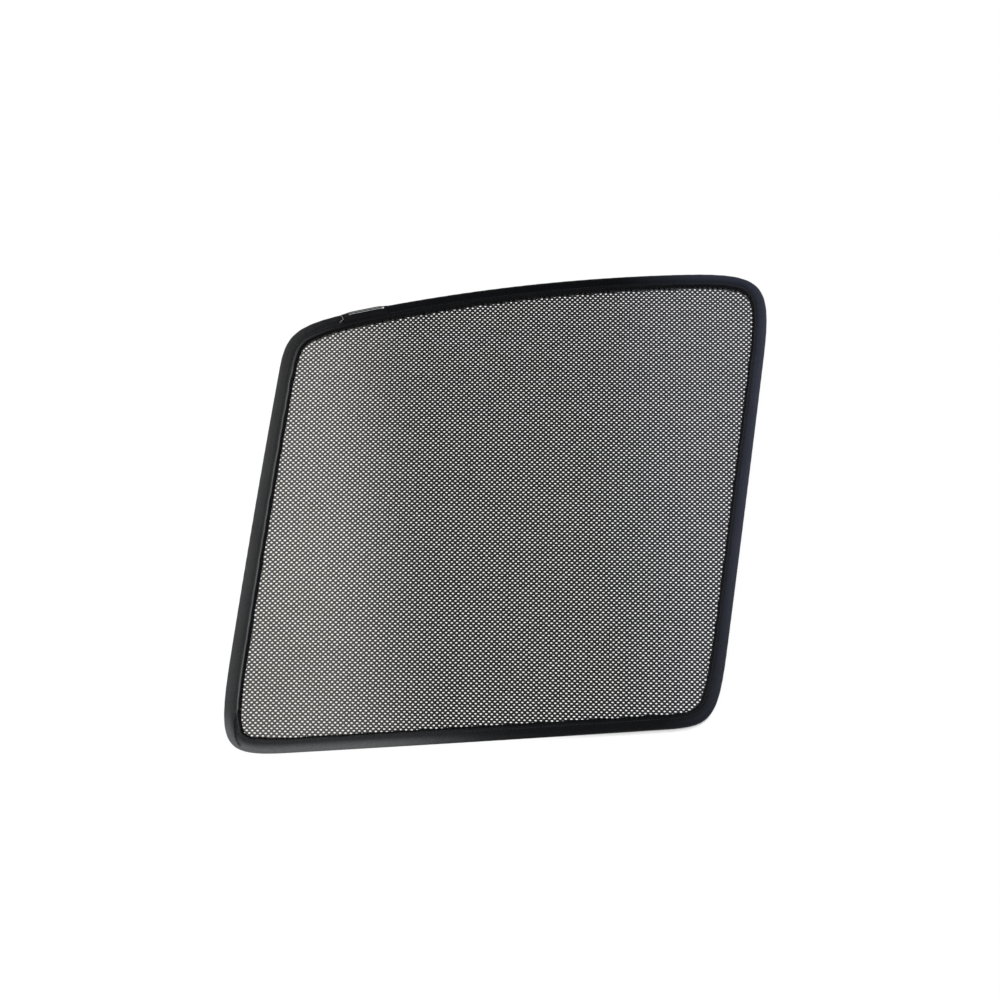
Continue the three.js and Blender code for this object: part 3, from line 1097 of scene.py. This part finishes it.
    def swell_at(self, runs: np.ndarray) -> np.ndarray:
        """How much fatter the bulge is over the wire's sleeve."""
        middle = (self.tag_start + self.tag_end) / 2
        beyond = np.abs(runs - middle) - self.swell_length / 2
        return self.swell * (1 - smooth_rise(beyond, 0.0, self.swell_ramp))

    def spread_at(self, runs: np.ndarray) -> np.ndarray:
        """How much further in than its usual width the tape's inner edge lies."""
        places = []
        for stretch, share, _ in self.spread:
            start, end = self.outline.starts[stretch], self.outline.ends[stretch]
            places.append(start + share * (end - start))
        return np.interp(runs, places, [extra for _, _, extra in self.spread], period=self.outline.length)

    def stations(self) -> np.ndarray:
        """Distances along the outline at which a cross-section stands, closer together in the corners."""
        marks = []
        for stretch in Stretch:
            start, end = self.outline.starts[stretch], self.outline.ends[stretch]
            step = self.straight_step if stretch.value % 2 == 0 else self.bent_step
            marks.append(np.linspace(start, end, math.ceil((end - start) / step), endpoint=False))
        corner = self.outline.starts[Stretch.SILL_LEFT]
        fine_start, fine_end = (corner + reach for reach in self.pleat.reach)
        runs = np.concatenate(marks)
        runs = runs[(runs < fine_start) | (runs > fine_end)]
        fine = np.arange(fine_start, fine_end, self.pleated_step)
        return np.sort(np.concatenate([runs, fine]))

    def upper_line(self, runs: np.ndarray, first_angle: float) -> np.ndarray:
        """The tape's outer side from an angle on the bulge to the hem, before any unevenness.

        Args:
            runs: distances along the outline.
            first_angle: where on the bulge it starts, in degrees.

        Returns:
            Depth and height, (stations, points, 2).
        """
        swell = self.swell_at(runs)[:, None]
        count = round((first_angle - self.bulge_end) / self.bulge_step)
        angles = np.radians(np.linspace(first_angle, self.bulge_end, count + 1))[None, :]
        radius = self.bulge + swell * self.swell_stretch
        centre = self.bulge + swell
        bulge = np.stack([self.bulge + radius * np.cos(angles), centre + radius * np.sin(angles)], axis=-1)
        leg = np.array(self.leg_line)
        ease = smooth_rise(leg[:, 0], *self.swell_leg)[None, :]
        deep = leg[None, :, 0] + swell * ease * self.swell_deep
        high = leg[None, :, 1] + swell * ease * self.swell_high
        return np.concatenate([bulge, np.stack([deep, high], axis=-1)], axis=1)

    def unevenness(self, runs: np.ndarray, line: np.ndarray) -> np.ndarray:
        """How far each point of the outer side is pushed out along its own normal.

        Args:
            runs: distances along the outline.
            line: depth and height of the points, (stations, points, 2).

        Returns:
            The push, (stations, points).
        """
        deep = line[..., 0]
        run = runs[:, None]
        ramp = smooth_rise(deep, *self.inner_leg)
        push = self.outline.wander(runs, self.leg_sway)[:, None] * ramp
        push = push + self.outline.wander(runs, self.bulge_sway)[:, None] * (1 - ramp)
        for fold in self.folds:
            across = (run - fold.run - fold.slant * (deep - self.width)) / fold.width
            risen = smooth_rise(deep, fold.fade, fold.fade + self.fold_ramp)
            push = push + fold.height * np.exp(-(across**2)) * risen
        off_floor = smooth_rise(line[..., 1], *self.off_floor)
        past = run - self.outline.starts[Stretch.SILL_LEFT]
        return (push + self.pleat.push(past, deep)) * off_floor

    @staticmethod
    def normals(line: np.ndarray) -> np.ndarray:
        """Outward normals of lines that run from the floor over the bulge to the hem."""
        before = np.concatenate([line[:, :1], line[:, :-1]], axis=1)
        after = np.concatenate([line[:, 1:], line[:, -1:]], axis=1)
        along = after - before
        along = along / np.linalg.norm(along, axis=-1, keepdims=True)
        return np.stack([-along[..., 1], along[..., 0]], axis=-1)

    def outer_side(self, runs: np.ndarray, first_angle: float) -> np.ndarray:
        """The tape's outer side with its gathers, pleat and unevenness, as (stations, points, 2)."""
        line = self.upper_line(runs, first_angle)
        pushed = line + self.normals(line) * self.unevenness(runs, line)[..., None]
        hem = smooth_rise(line[..., 0], *self.inner_edge)
        sway = self.outline.wander(runs, self.hem_sway)
        pushed[..., 0] += hem * (sway + self.spread_at(runs))[:, None]
        return pushed

    def placed(self, runs: np.ndarray, line: np.ndarray) -> np.ndarray:
        """Sections set up on the outline.

        Args:
            runs: distances along it.
            line: depth and height of each section's points.

        Returns:
            Their places, (stations, points, 3).
        """
        points, inward = self.outline.at(runs)
        flat = points[:, None, :] + inward[:, None, :] * line[..., :1]
        return np.concatenate([flat, line[..., 1:]], axis=-1)

    def sections(self, runs: np.ndarray) -> np.ndarray:
        """Whole closed cross-sections of the tape, (stations, points, 2)."""
        swell = self.swell_at(runs)[:, None]
        under = self._trimmed(runs, self.sole, 0.0)
        outer = self.outer_side(runs, 270.0)
        lining = np.array([(deep, self.upper_lining_height) for deep in self.upper_lining])
        leg_inner = np.broadcast_to(lining, (len(runs), *lining.shape))
        angles = np.radians(np.linspace(*self.pocket_angles, self.pocket_points))[None, :]
        radius = self.pocket + swell * self.pocket_stretch
        centre = self.bulge + swell
        pocket = np.stack([self.bulge + radius * np.cos(angles), centre + radius * np.sin(angles)], axis=-1)
        lower = self._trimmed(runs, self.lower_lining, self.wall)
        return np.concatenate([under, outer, leg_inner, pocket, lower], axis=1)

    def _trimmed(self, runs: np.ndarray, depths: Sequence[float], height: float) -> np.ndarray:
        """A line of the under leg, whose free edge follows the tape's width and wanders a little.

        Args:
            runs: distances along the outline.
            depths: how far in the line's points lie where the tape has its usual width.
            height: the line's height.

        Returns:
            Depth and height, (stations, points, 2).
        """
        right, after = self.outline.starts[Stretch.RIGHT], self.outline.starts[Stretch.TOP_RIGHT]
        short = self.narrowing * smooth_rise(runs, *(right + past for past in self.narrows))
        short = short * (1 - smooth_rise(runs, *(after + past for past in self.widens)))
        wider = np.maximum(self.spread_at(runs), 0.0)
        trim = short - wider - self.outline.wander(runs, self.under_sway)
        usual = np.array(depths)
        share = smooth_rise(usual, *self.under_edge)
        deep = usual[None, :] - np.clip(trim, *self.trim_limits)[:, None] * share[None, :]
        return np.stack([deep, np.full(deep.shape, height)], axis=-1)

    def build(self, finish: bpy.types.Material) -> bpy.types.Object:
        """Makes the tape."""
        runs = self.stations()
        rings = self.placed(runs, self.sections(runs))
        rings = rings[:, ::-1]
        parts = MeshParts()
        along = np.concatenate([runs, [runs[0] + self.outline.length]]) * MM
        lengths = ring_lengths(rings[0])
        outermost = int(np.argmin(self.sections(runs[:1])[0, ::-1, 0]))
        parts.add_tube(rings, along, lengths[outermost] - lengths, closed=True)
        piece = parts.build("edge_tape", finish, sharp=55.0)
        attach(piece, BODY)
        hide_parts("edge_binding")
        return piece

    def flat_width(self) -> float:
        """The width in metres that the tape was cut to, measured round the middle of its wall."""
        runs = np.array([self.outline.starts[Stretch.RIGHT] + 100.0])
        ring = self.sections(runs)[0]
        return float(ring_lengths(ring)[-1] / 2 - self.wall * MM)


# Net


class Slant(Enum):
    """The two ways that the net's yarns run."""

    RISING = 1
    FALLING = -1


class Third(Enum):
    """The three runs of net that are made as a piece each, by the columns of holes that bound them."""

    LEFT = (-130, -33)
    MIDDLE = (-33, 33)
    RIGHT = (33, 130)


@dataclass
class Net:
    """The open net: two families of yarns that pass over and under each other; sizes in millimetres."""

    outline: Outline
    unit: float = 2.17
    tilt: float = -5.52
    middle: float = 1.7
    rise: float = 0.42
    yarn_width: float = 1.46
    yarn_thickness: float = 1.0
    profile: tuple[tuple[float, float], ...] = (
        (0.5, -0.3),
        (0.5, 0.3),
        (0.0, 0.5),
        (-0.5, 0.3),
        (-0.5, -0.3),
        (0.0, -0.5),
    )
    knot: tuple[float, float, float] = (0.66, 1.6, 0.75)
    inset: float = 9.4
    looseness: float = 0.035
    uneven_width: float = 0.05
    thinner_left: float = 0.09
    thinner_right: float = 0.03
    westward: Span = (70.0, 150.0)
    eastward: Span = (90.0, 170.0)
    northward: Span = (-150.0, -30.0)
    south_share: float = 0.4
    knot_inset: float = 10.4
    lattice_reach: int = 100
    seed: int = 5
    crossings: np.ndarray = field(init=False)
    columns: np.ndarray = field(init=False)
    over: np.ndarray = field(init=False)
    slimness: np.ndarray = field(init=False)
    widths: np.ndarray = field(init=False)
    depths: np.ndarray = field(init=False)

    def __post_init__(self) -> None:
        """Sets the places and depths of all crossings within reach of the outline."""
        index = np.arange(-self.lattice_reach, self.lattice_reach)
        rows, columns = np.meshgrid(index, index, indexing="ij")
        a, b = rows + 0.5, columns + 0.5
        lattice = np.stack([a + b, a - b], axis=-1) * self.unit
        angle = math.radians(self.tilt)
        turn = np.array([[math.cos(angle), -math.sin(angle)], [math.sin(angle), math.cos(angle)]])
        rng = np.random.default_rng(self.seed)
        shift = rng.normal(0.0, self.looseness, lattice.shape)
        self.crossings = lattice @ turn.T + shift
        self.columns = (a + b).astype(int)
        self.over = np.where((rows + columns) % 2 == 0, 1.0, -1.0)
        east, north = self.crossings[..., 0], self.crossings[..., 1]
        upward = self.south_share + (1 - self.south_share) * smooth_rise(north, *self.northward)
        slimness = 1.0 - self.thinner_left * upward * smooth_rise(-east, *self.westward)
        self.slimness = slimness - self.thinner_right * smooth_rise(east, *self.eastward)
        self.widths = self.yarn_width * (1 + rng.normal(0.0, self.uneven_width, rows.shape)) * self.slimness
        box = self.outline.points
        near = (np.abs(self.crossings) < np.abs(box).max(axis=0) + self.unit).all(axis=-1)
        self.depths = np.full(rows.shape, -1.0)
        self.depths[near] = self.outline.depth(self.crossings[near])

    def _yarn(self, slant: Slant, line: int, third: Third) -> tuple[np.ndarray, ...] | None:
        """One yarn's run of crossings within a third of the net.

        Args:
            slant: which family it belongs to.
            line: which yarn of the family.
            third: the part of the net.

        Returns:
            Its points with their heights, its widths and its distances along itself, or None.
        """
        pick = (slice(None), line) if slant is Slant.RISING else (line, slice(None))
        places, columns = self.crossings[pick], self.columns[pick]
        depths, widths = self.depths[pick], self.widths[pick]
        heights = self.middle + slant.value * self.over[pick] * self.rise
        low, high = third.value
        inside = (depths >= self.inset) & (columns >= low) & (columns <= high)
        if inside.sum() < 2:
            return None
        first, last = np.flatnonzero(inside)[[0, -1]]
        points = np.column_stack([places, heights])
        pieces, sizes = [points[first : last + 1]], [widths[first : last + 1]]
        for end, beyond in ((first, first - 1), (last, last + 1)):
            bound_by_third = columns[end] in (low, high)
            if not bound_by_third and depths[beyond] < self.inset:
                share = (depths[end] - self.inset) / (depths[end] - depths[beyond])
                tip = points[end] + (points[beyond] - points[end]) * min(share, 1.0)
                pieces.insert(0 if beyond < end else len(pieces), tip[None])
                sizes.insert(0 if beyond < end else len(sizes), widths[end : end + 1])
        path, width = np.concatenate(pieces), np.concatenate(sizes)
        steps = np.linalg.norm(np.diff(path, axis=0), axis=1)
        return path, width, np.concatenate([[0.0], np.cumsum(steps)]) * MM

    def _rings(self, path: np.ndarray, width: np.ndarray) -> np.ndarray:
        """Rings of points round a yarn, upright across its own line."""
        along = unit(path[-1, :2] - path[0, :2])
        left = np.array([-along[1], along[0], 0.0])
        up = np.array([0.0, 0.0, 1.0])
        profile = np.array(self.profile)
        wide = profile[None, :, :1] * left * width[:, None, None]
        tall = profile[None, :, 1:] * up * self.yarn_thickness
        return path[:, None, :] + wide + tall

    def _knots(self, picked: np.ndarray) -> np.ndarray:
        """The six points of the small knot at each picked crossing, longer one way than the other."""
        angle = math.radians(self.tilt)
        sideways = np.array([math.cos(angle), math.sin(angle), 0.0]) * self.knot[0]
        lengthways = np.array([-math.sin(angle), math.cos(angle), 0.0]) * self.knot[1]
        upright = np.array([0.0, 0.0, self.knot[2]])
        near, far = sideways + lengthways, lengthways - sideways
        arms = np.array([near, far, -near, -far, upright, -upright])
        centres = np.column_stack([self.crossings[picked], np.full(int(picked.sum()), self.middle)])
        return centres[:, None, :] + arms[None, :, :] * self.slimness[picked][:, None, None]

    def build_third(self, third: Third, finish: bpy.types.Material) -> bpy.types.Object:
        """Makes one third of the net.

        Args:
            third: which third.
            finish: the yarn's material.

        Returns:
            The piece.
        """
        parts = MeshParts()
        around = np.linspace(0.0, 1.0, len(self.profile) + 1)
        for slant in Slant:
            for line in range(self.crossings.shape[0]):
                yarn = self._yarn(slant, line, third)
                if yarn is not None:
                    path, width, lengths = yarn
                    parts.add_tube(self._rings(path, width), lengths, around, closed=False)
        low, high = third.value
        knotted = (self.depths >= self.knot_inset) & (self.columns > low) & (self.columns <= high)
        knots = MeshParts()
        knots.add_lozenges(self._knots(knotted))
        bound = knots.build(f"knots_{third.name.lower()}", finish)
        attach(bound, BODY)
        piece = parts.build(f"net_{third.name.lower()}", finish)
        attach(piece, BODY)
        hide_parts("net_panel")
        held = (self.depths >= self.inset) & (self.columns >= low) & (self.columns <= high)
        whole = held & (self.columns > low) & (self.columns < high)
        cell = 2 * self.unit**2 * MM**2
        area = (whole.sum() + held.sum()) / 2 * cell
        angle = math.radians(-self.tilt)
        turn = np.array([[math.cos(angle), -math.sin(angle)], [math.sin(angle), math.cos(angle)]])
        square = self.crossings[held] @ turn.T
        flat = (square.max(axis=0) - square.min(axis=0)) * MM
        return piece

    def build(self, finish: bpy.types.Material) -> list[bpy.types.Object]:
        """Makes the whole net."""
        return [self.build_third(third, finish) for third in Third]


# Tag and sewing


@dataclass
class BareTag:
    """The ribbon tag wrapped over the tape and sewn in at the hem; sizes in millimetres."""

    tape: EdgeTape
    clearance: float = 0.07
    wall: float = 0.22
    first_angle: float = 210.0
    hollow: Hump = Hump(7.4, 1.9, 0.22)
    end_lift: float = 0.16
    end_reach: float = 1.6
    curl_deep: Span = (2.0, 9.0)
    pucker: Sway = Sway(31, 90, 260, 0.05)
    pucker_deep: Span = (3.0, 8.0)
    step: float = 0.65

    def _skin(self, runs: np.ndarray, away: float) -> np.ndarray:
        """The ribbon's line at a distance from the tape, drawn tight across the hollow beside the hem."""
        line = self.tape.upper_line(runs, self.first_angle)
        deep = line[..., 0]
        ends = np.minimum(runs - runs[0], runs[-1] - runs)[:, None]
        curl = self.end_lift * np.exp(-ends / self.end_reach) * smooth_rise(deep, *self.curl_deep)
        sway = self.tape.outline.wander(runs, self.pucker)
        pucker = sway[:, None] * smooth_rise(deep, *self.pucker_deep)
        return line + self.tape.normals(line) * (away + self.hollow.at(deep) + curl + pucker)[..., None]

    def build(self, finish: bpy.types.Material) -> bpy.types.Object:
        """Makes the tag."""
        count = math.ceil(self.tape.tag_length / self.step) + 1
        runs = np.linspace(self.tape.tag_start, self.tape.tag_end, count)
        outer = self._skin(runs, self.clearance + self.wall)
        inner = self._skin(runs, self.clearance)[:, ::-1]
        rings = self.tape.placed(runs, np.concatenate([outer, inner], axis=1))[:, ::-1]
        parts = MeshParts()
        lengths = ring_lengths(rings[0])
        across = lengths[-1] - lengths
        parts.add_tube(rings, (runs - runs[0]) * MM, across, closed=False)
        piece = parts.build("bare_tag", finish, sharp=50.0)
        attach(piece, BODY)
        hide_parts("side_tag")
        return piece


@dataclass
class HemStitches:
    """A row of lock stitches through the tape and the net, just inside the hem; sizes in millimetres."""

    tape: EdgeTape
    depth: float = 8.3
    pitch: float = 3.0
    gap: float = 0.5
    thread: float = 0.36
    sunk: float = 0.16
    arch: float = 0.26
    sides: int = 5
    bends: int = 5

    def build(self, finish: bpy.types.Material) -> bpy.types.Object:
        """Makes the row of stitches."""
        parts = MeshParts()
        around = np.linspace(0.0, 1.0, self.sides + 1)
        count = round(self.tape.outline.length / self.pitch)
        pitch = self.tape.outline.length / count
        share = np.linspace(0.0, 1.0, self.bends)
        arch = self.arch * np.sin(share * math.pi) ** 0.5
        angles = 2 * math.pi * np.arange(self.sides) / self.sides
        for index in range(count):
            start = index * pitch
            runs = start + self.gap / 2 + share * (pitch - self.gap)
            if self.tape.tag_start - pitch < start < self.tape.tag_end:
                continue
            line = self.tape.outer_side(runs, 90.0)
            high = np.array([np.interp(self.depth, row[4:-4, 0], row[4:-4, 1]) for row in line])
            centre = high - self.sunk + arch
            deep = self.depth + np.cos(angles)[None, :] * self.thread / 2
            deep = np.broadcast_to(deep, (self.bends, self.sides))
            tall = centre[:, None] + np.sin(angles)[None, :] * self.thread / 2
            rings = self.tape.placed(runs, np.stack([deep, tall], axis=-1))[:, ::-1]
            parts.add_tube(rings, share * pitch * MM, around, closed=False)
        piece = parts.build("hem_stitches", finish)
        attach(piece, BODY)
        return piece


@dataclass
class LooseThread:
    """A pale thread end that lies over the tape beside the tag."""

    tape: EdgeTape
    thread: float = 0.34
    sides: int = 6
    stations: int = 41
    blunt: float = 0.35
    path: tuple[tuple[float, float, float], ...] = (
        (0.1, 1.4, 0.1),
        (-0.1, 2.7, 0.2),
        (-0.3, 4.0, 0.3),
        (-0.6, 5.4, 0.3),
        (0.4, 5.9, 0.3),
        (1.3, 6.4, 0.24),
        (2.2, 7.0, 0.16),
        (3.2, 7.5, 0.1),
    )

    def build(self, finish: bpy.types.Material) -> bpy.types.Object:
        """Makes the thread end."""
        marks = np.array(self.path)
        share = np.linspace(0.0, len(marks) - 1.0, self.stations)
        past, deep, lift = (np.interp(share, np.arange(len(marks)), column) for column in marks.T)
        runs = self.tape.tag_end + past
        line = self.tape.outer_side(runs, 180.0)
        high = np.array([np.interp(d, row[:-3, 0], row[:-3, 1]) for d, row in zip(deep, line)])
        points, inward = self.tape.outline.at(runs)
        path = np.column_stack([points + inward * deep[:, None], high + lift + self.thread / 2])
        parts = MeshParts()
        along = np.gradient(path, axis=0)
        along = along / np.linalg.norm(along, axis=1)[:, None]
        side = np.cross(along, np.array([0.0, 0.0, 1.0]))
        side = side / np.linalg.norm(side, axis=1)[:, None]
        up = np.cross(side, along)
        angles = 2 * math.pi * np.arange(self.sides) / self.sides
        from_end = np.minimum(share, share[-1] - share)
        taper = np.clip(from_end * 2.0 + self.blunt, 0.0, 1.0)[:, None, None]
        ring = np.cos(angles)[None, :, None] * side[:, None] + np.sin(angles)[None, :, None] * up[:, None]
        rings = path[:, None, :] + ring * taper * self.thread / 2
        steps = np.concatenate([[0.0], np.cumsum(np.linalg.norm(np.diff(path, axis=0), axis=1))]) * MM
        parts.add_tube(rings[:, ::-1], steps, np.linspace(0.0, 1.0, self.sides + 1), closed=False)
        piece = parts.build("loose_thread", finish)
        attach(piece, BODY)
        return piece


# Studio


@dataclass(frozen=True)
class Softbox:
    """A soft lamp: where it stands, what it points at, its width and height, and its power in watts."""

    name: str
    place: tuple[float, float, float]
    aim: tuple[float, float, float]
    width: float
    height: float
    power: float
    tint: Colour = (1.0, 1.0, 1.0)

    def build(self) -> bpy.types.Object:
        """Makes the lamp."""
        lamp = bpy.data.lights.new(self.name, "AREA")
        lamp.shape = "RECTANGLE"
        lamp.size = self.width
        lamp.size_y = self.height
        lamp.energy = self.power
        lamp.color = self.tint
        made = bpy.data.objects.new(self.name, lamp)
        made.location = self.place
        made.rotation_euler = (Vector(self.aim) - Vector(self.place)).to_track_quat("-Z", "Y").to_euler()
        made.visible_camera = False
        bpy.context.scene.collection.objects.link(made)
        return made


@dataclass(frozen=True)
class Viewpoint:
    """The camera's stand: its bearing and height in degrees, its distance, aim, roll and lens."""

    bearing: float = -3.635
    elevation: float = 63.451
    roll: float = -0.138
    distance: float = 2.3612
    aim: tuple[float, float, float] = (-0.00335, 0.00437, 0.0)
    lens: float = 103.37
    sensor: float = 36.0
    farthest: float = 50.0

    def build(self) -> bpy.types.Object:
        """Makes the camera and hands it to the scene."""
        bearing, elevation = math.radians(self.bearing), math.radians(self.elevation)
        away = Vector(
            (
                math.sin(bearing) * math.cos(elevation),
                -math.cos(bearing) * math.cos(elevation),
                math.sin(elevation),
            )
        )
        lens = bpy.data.cameras.new("camera")
        lens.lens = self.lens
        lens.sensor_width = self.sensor
        lens.clip_end = self.farthest
        made = bpy.data.objects.new("camera", lens)
        made.location = Vector(self.aim) + away * self.distance
        level = (-away).cross(Vector((0.0, 0.0, 1.0))).normalized()
        upright = level.cross(-away)
        roll = math.radians(self.roll)
        right = level * math.cos(roll) + upright * math.sin(roll)
        up = upright * math.cos(roll) - level * math.sin(roll)
        made.rotation_euler = Matrix((right, up, away)).transposed().to_euler()
        bpy.context.scene.collection.objects.link(made)
        bpy.context.scene.camera = made
        return made


@dataclass
class Studio:
    """White paper on the floor, soft lamps round the shade, and the camera."""

    floor_half: float = 6.0
    floor_drop: float = 0.05
    sky: float = 0.72
    overhead: float = 0.06
    left_wall: Span = (0.1, -0.6)
    right_wall: Span = (0.3, 0.8)
    right_share: float = 0.8
    horizon: Span = (0.35, 0.05)
    lamps: tuple[Softbox, ...] = (
        Softbox("left_softbox", (-0.75, 0.5, 0.62), (-0.2, 0.0, 0.0), 0.6, 0.4, 6.5, (1.0, 0.99, 0.97)),
        Softbox("front_softbox", (-0.45, -0.7, 0.45), (-0.16, -0.2, 0.0), 0.4, 0.35, 4.0),
        Softbox("overhead_softbox", (-0.35, -0.35, 0.85), (-0.16, -0.2, 0.0), 0.35, 0.35, 1.5),
        Softbox("right_window", (0.82, 0.29, 0.6), (0.2, 0.0, 0.0), 0.6, 0.6, 5.0, (0.82, 0.91, 1.0)),
    )

    def _floor(self) -> bpy.types.Object:
        """Lays the white paper."""
        half = self.floor_half
        drop = -self.floor_drop * MM
        mesh = bpy.data.meshes.new("white_floor")
        corners = [(-half, -half, drop), (half, -half, drop), (half, half, drop), (-half, half, drop)]
        mesh.from_pydata(corners, [], [(0, 1, 2, 3)])
        mesh.materials.append(WhiteSweep().material())
        floor = bpy.data.objects.new("white_floor", mesh)
        bpy.context.scene.collection.objects.link(floor)
        return floor

    def _world(self) -> None:
        """Sets a white surround that lights the shade softly."""
        world = bpy.data.worlds.new("white_surround")
        world.use_nodes = True
        bpy.context.scene.world = world
        shader = Shader(world.node_tree)
        east, _, height = shader.parts(shader.node("ShaderNodeTexCoord").outputs["Generated"])
        walls = east.step(*self.left_wall) + east.step(*self.right_wall) * self.right_share
        low = height.step(*self.horizon)
        seen = seen_directly(shader)
        shown = self.overhead + low * (0.15 + 0.8 * walls) * (1.0 - self.overhead)
        strength = seen * shown + (1.0 - seen) * self.sky
        surround = shader.node("ShaderNodeBackground", None, {"Color": (1, 1, 1, 1), "Strength": strength})
        shader.node("ShaderNodeOutputWorld", None, {"Surface": surround.outputs["Background"]})

    def build(self) -> None:
        """Makes the floor, the surround, the lamps and the camera."""
        scene = bpy.context.scene
        scene.view_settings.view_transform = "Standard"
        self._floor()
        self._world()
        for lamp in self.lamps:
            lamp.build()
        Viewpoint().build()


# Carried-over pieces


def dress_nodes(names: Iterable[str], finish: bpy.types.Material) -> None:
    """Gives CAD nodes a material in every slot.

    Args:
        names: the nodes.
        finish: the material.
    """
    for name in names:
        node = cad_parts[name]
        if not node.material_slots:
            node.data.materials.append(finish)
        for slot in node.material_slots:
            slot.material = finish


def main() -> None:
    """Builds the dressed shade and its studio, and reports each piece."""
    logging.basicConfig(level=logging.INFO, format="%(name)s: %(message)s")
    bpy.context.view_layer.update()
    Studio().build()

    steel = DrawnMetal("spring_steel", (0.56, 0.57, 0.59), (0.33, 0.3, 0.27), (400.0, 400.0, 60.0))
    brass = DrawnMetal("crimped_brass", (0.69, 0.6, 0.36), (0.4, 0.33, 0.2), (90.0, 900.0, 900.0))
    nickel = DrawnMetal("nickel_plate", (0.72, 0.73, 0.75), (0.5, 0.49, 0.46), (700.0, 700.0, 200.0), 0.18)
    magnets = sorted(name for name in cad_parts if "magnet" in name)
    dress_nodes(["frame_wire"], steel.material())
    dress_nodes(["wire_sleeve"], brass.material())
    dress_nodes(magnets, nickel.material())

    outline = Outline()
    tape = EdgeTape(outline)
    black_thread = SewingThread("black_thread", (0.009, 0.009, 0.01), (0.022, 0.023, 0.026)).material()
    pale_thread = SewingThread("pale_thread", (0.16, 0.165, 0.17), (0.34, 0.35, 0.36)).material()
    edge = tape.build(RibbedTape().material())
    stitches = HemStitches(tape).build(black_thread)
    tape.flat_width()
    net = Net(outline).build(NetYarn().material())
    tag = BareTag(tape).build(SatinTag().material())
    thread = LooseThread(tape).build(pale_thread)

    for piece in (edge, stitches, *net, tag, thread):
        LOG.info("%s: %d faces", piece.name, len(piece.data.polygons))


if __name__ == "__main__":
    main()
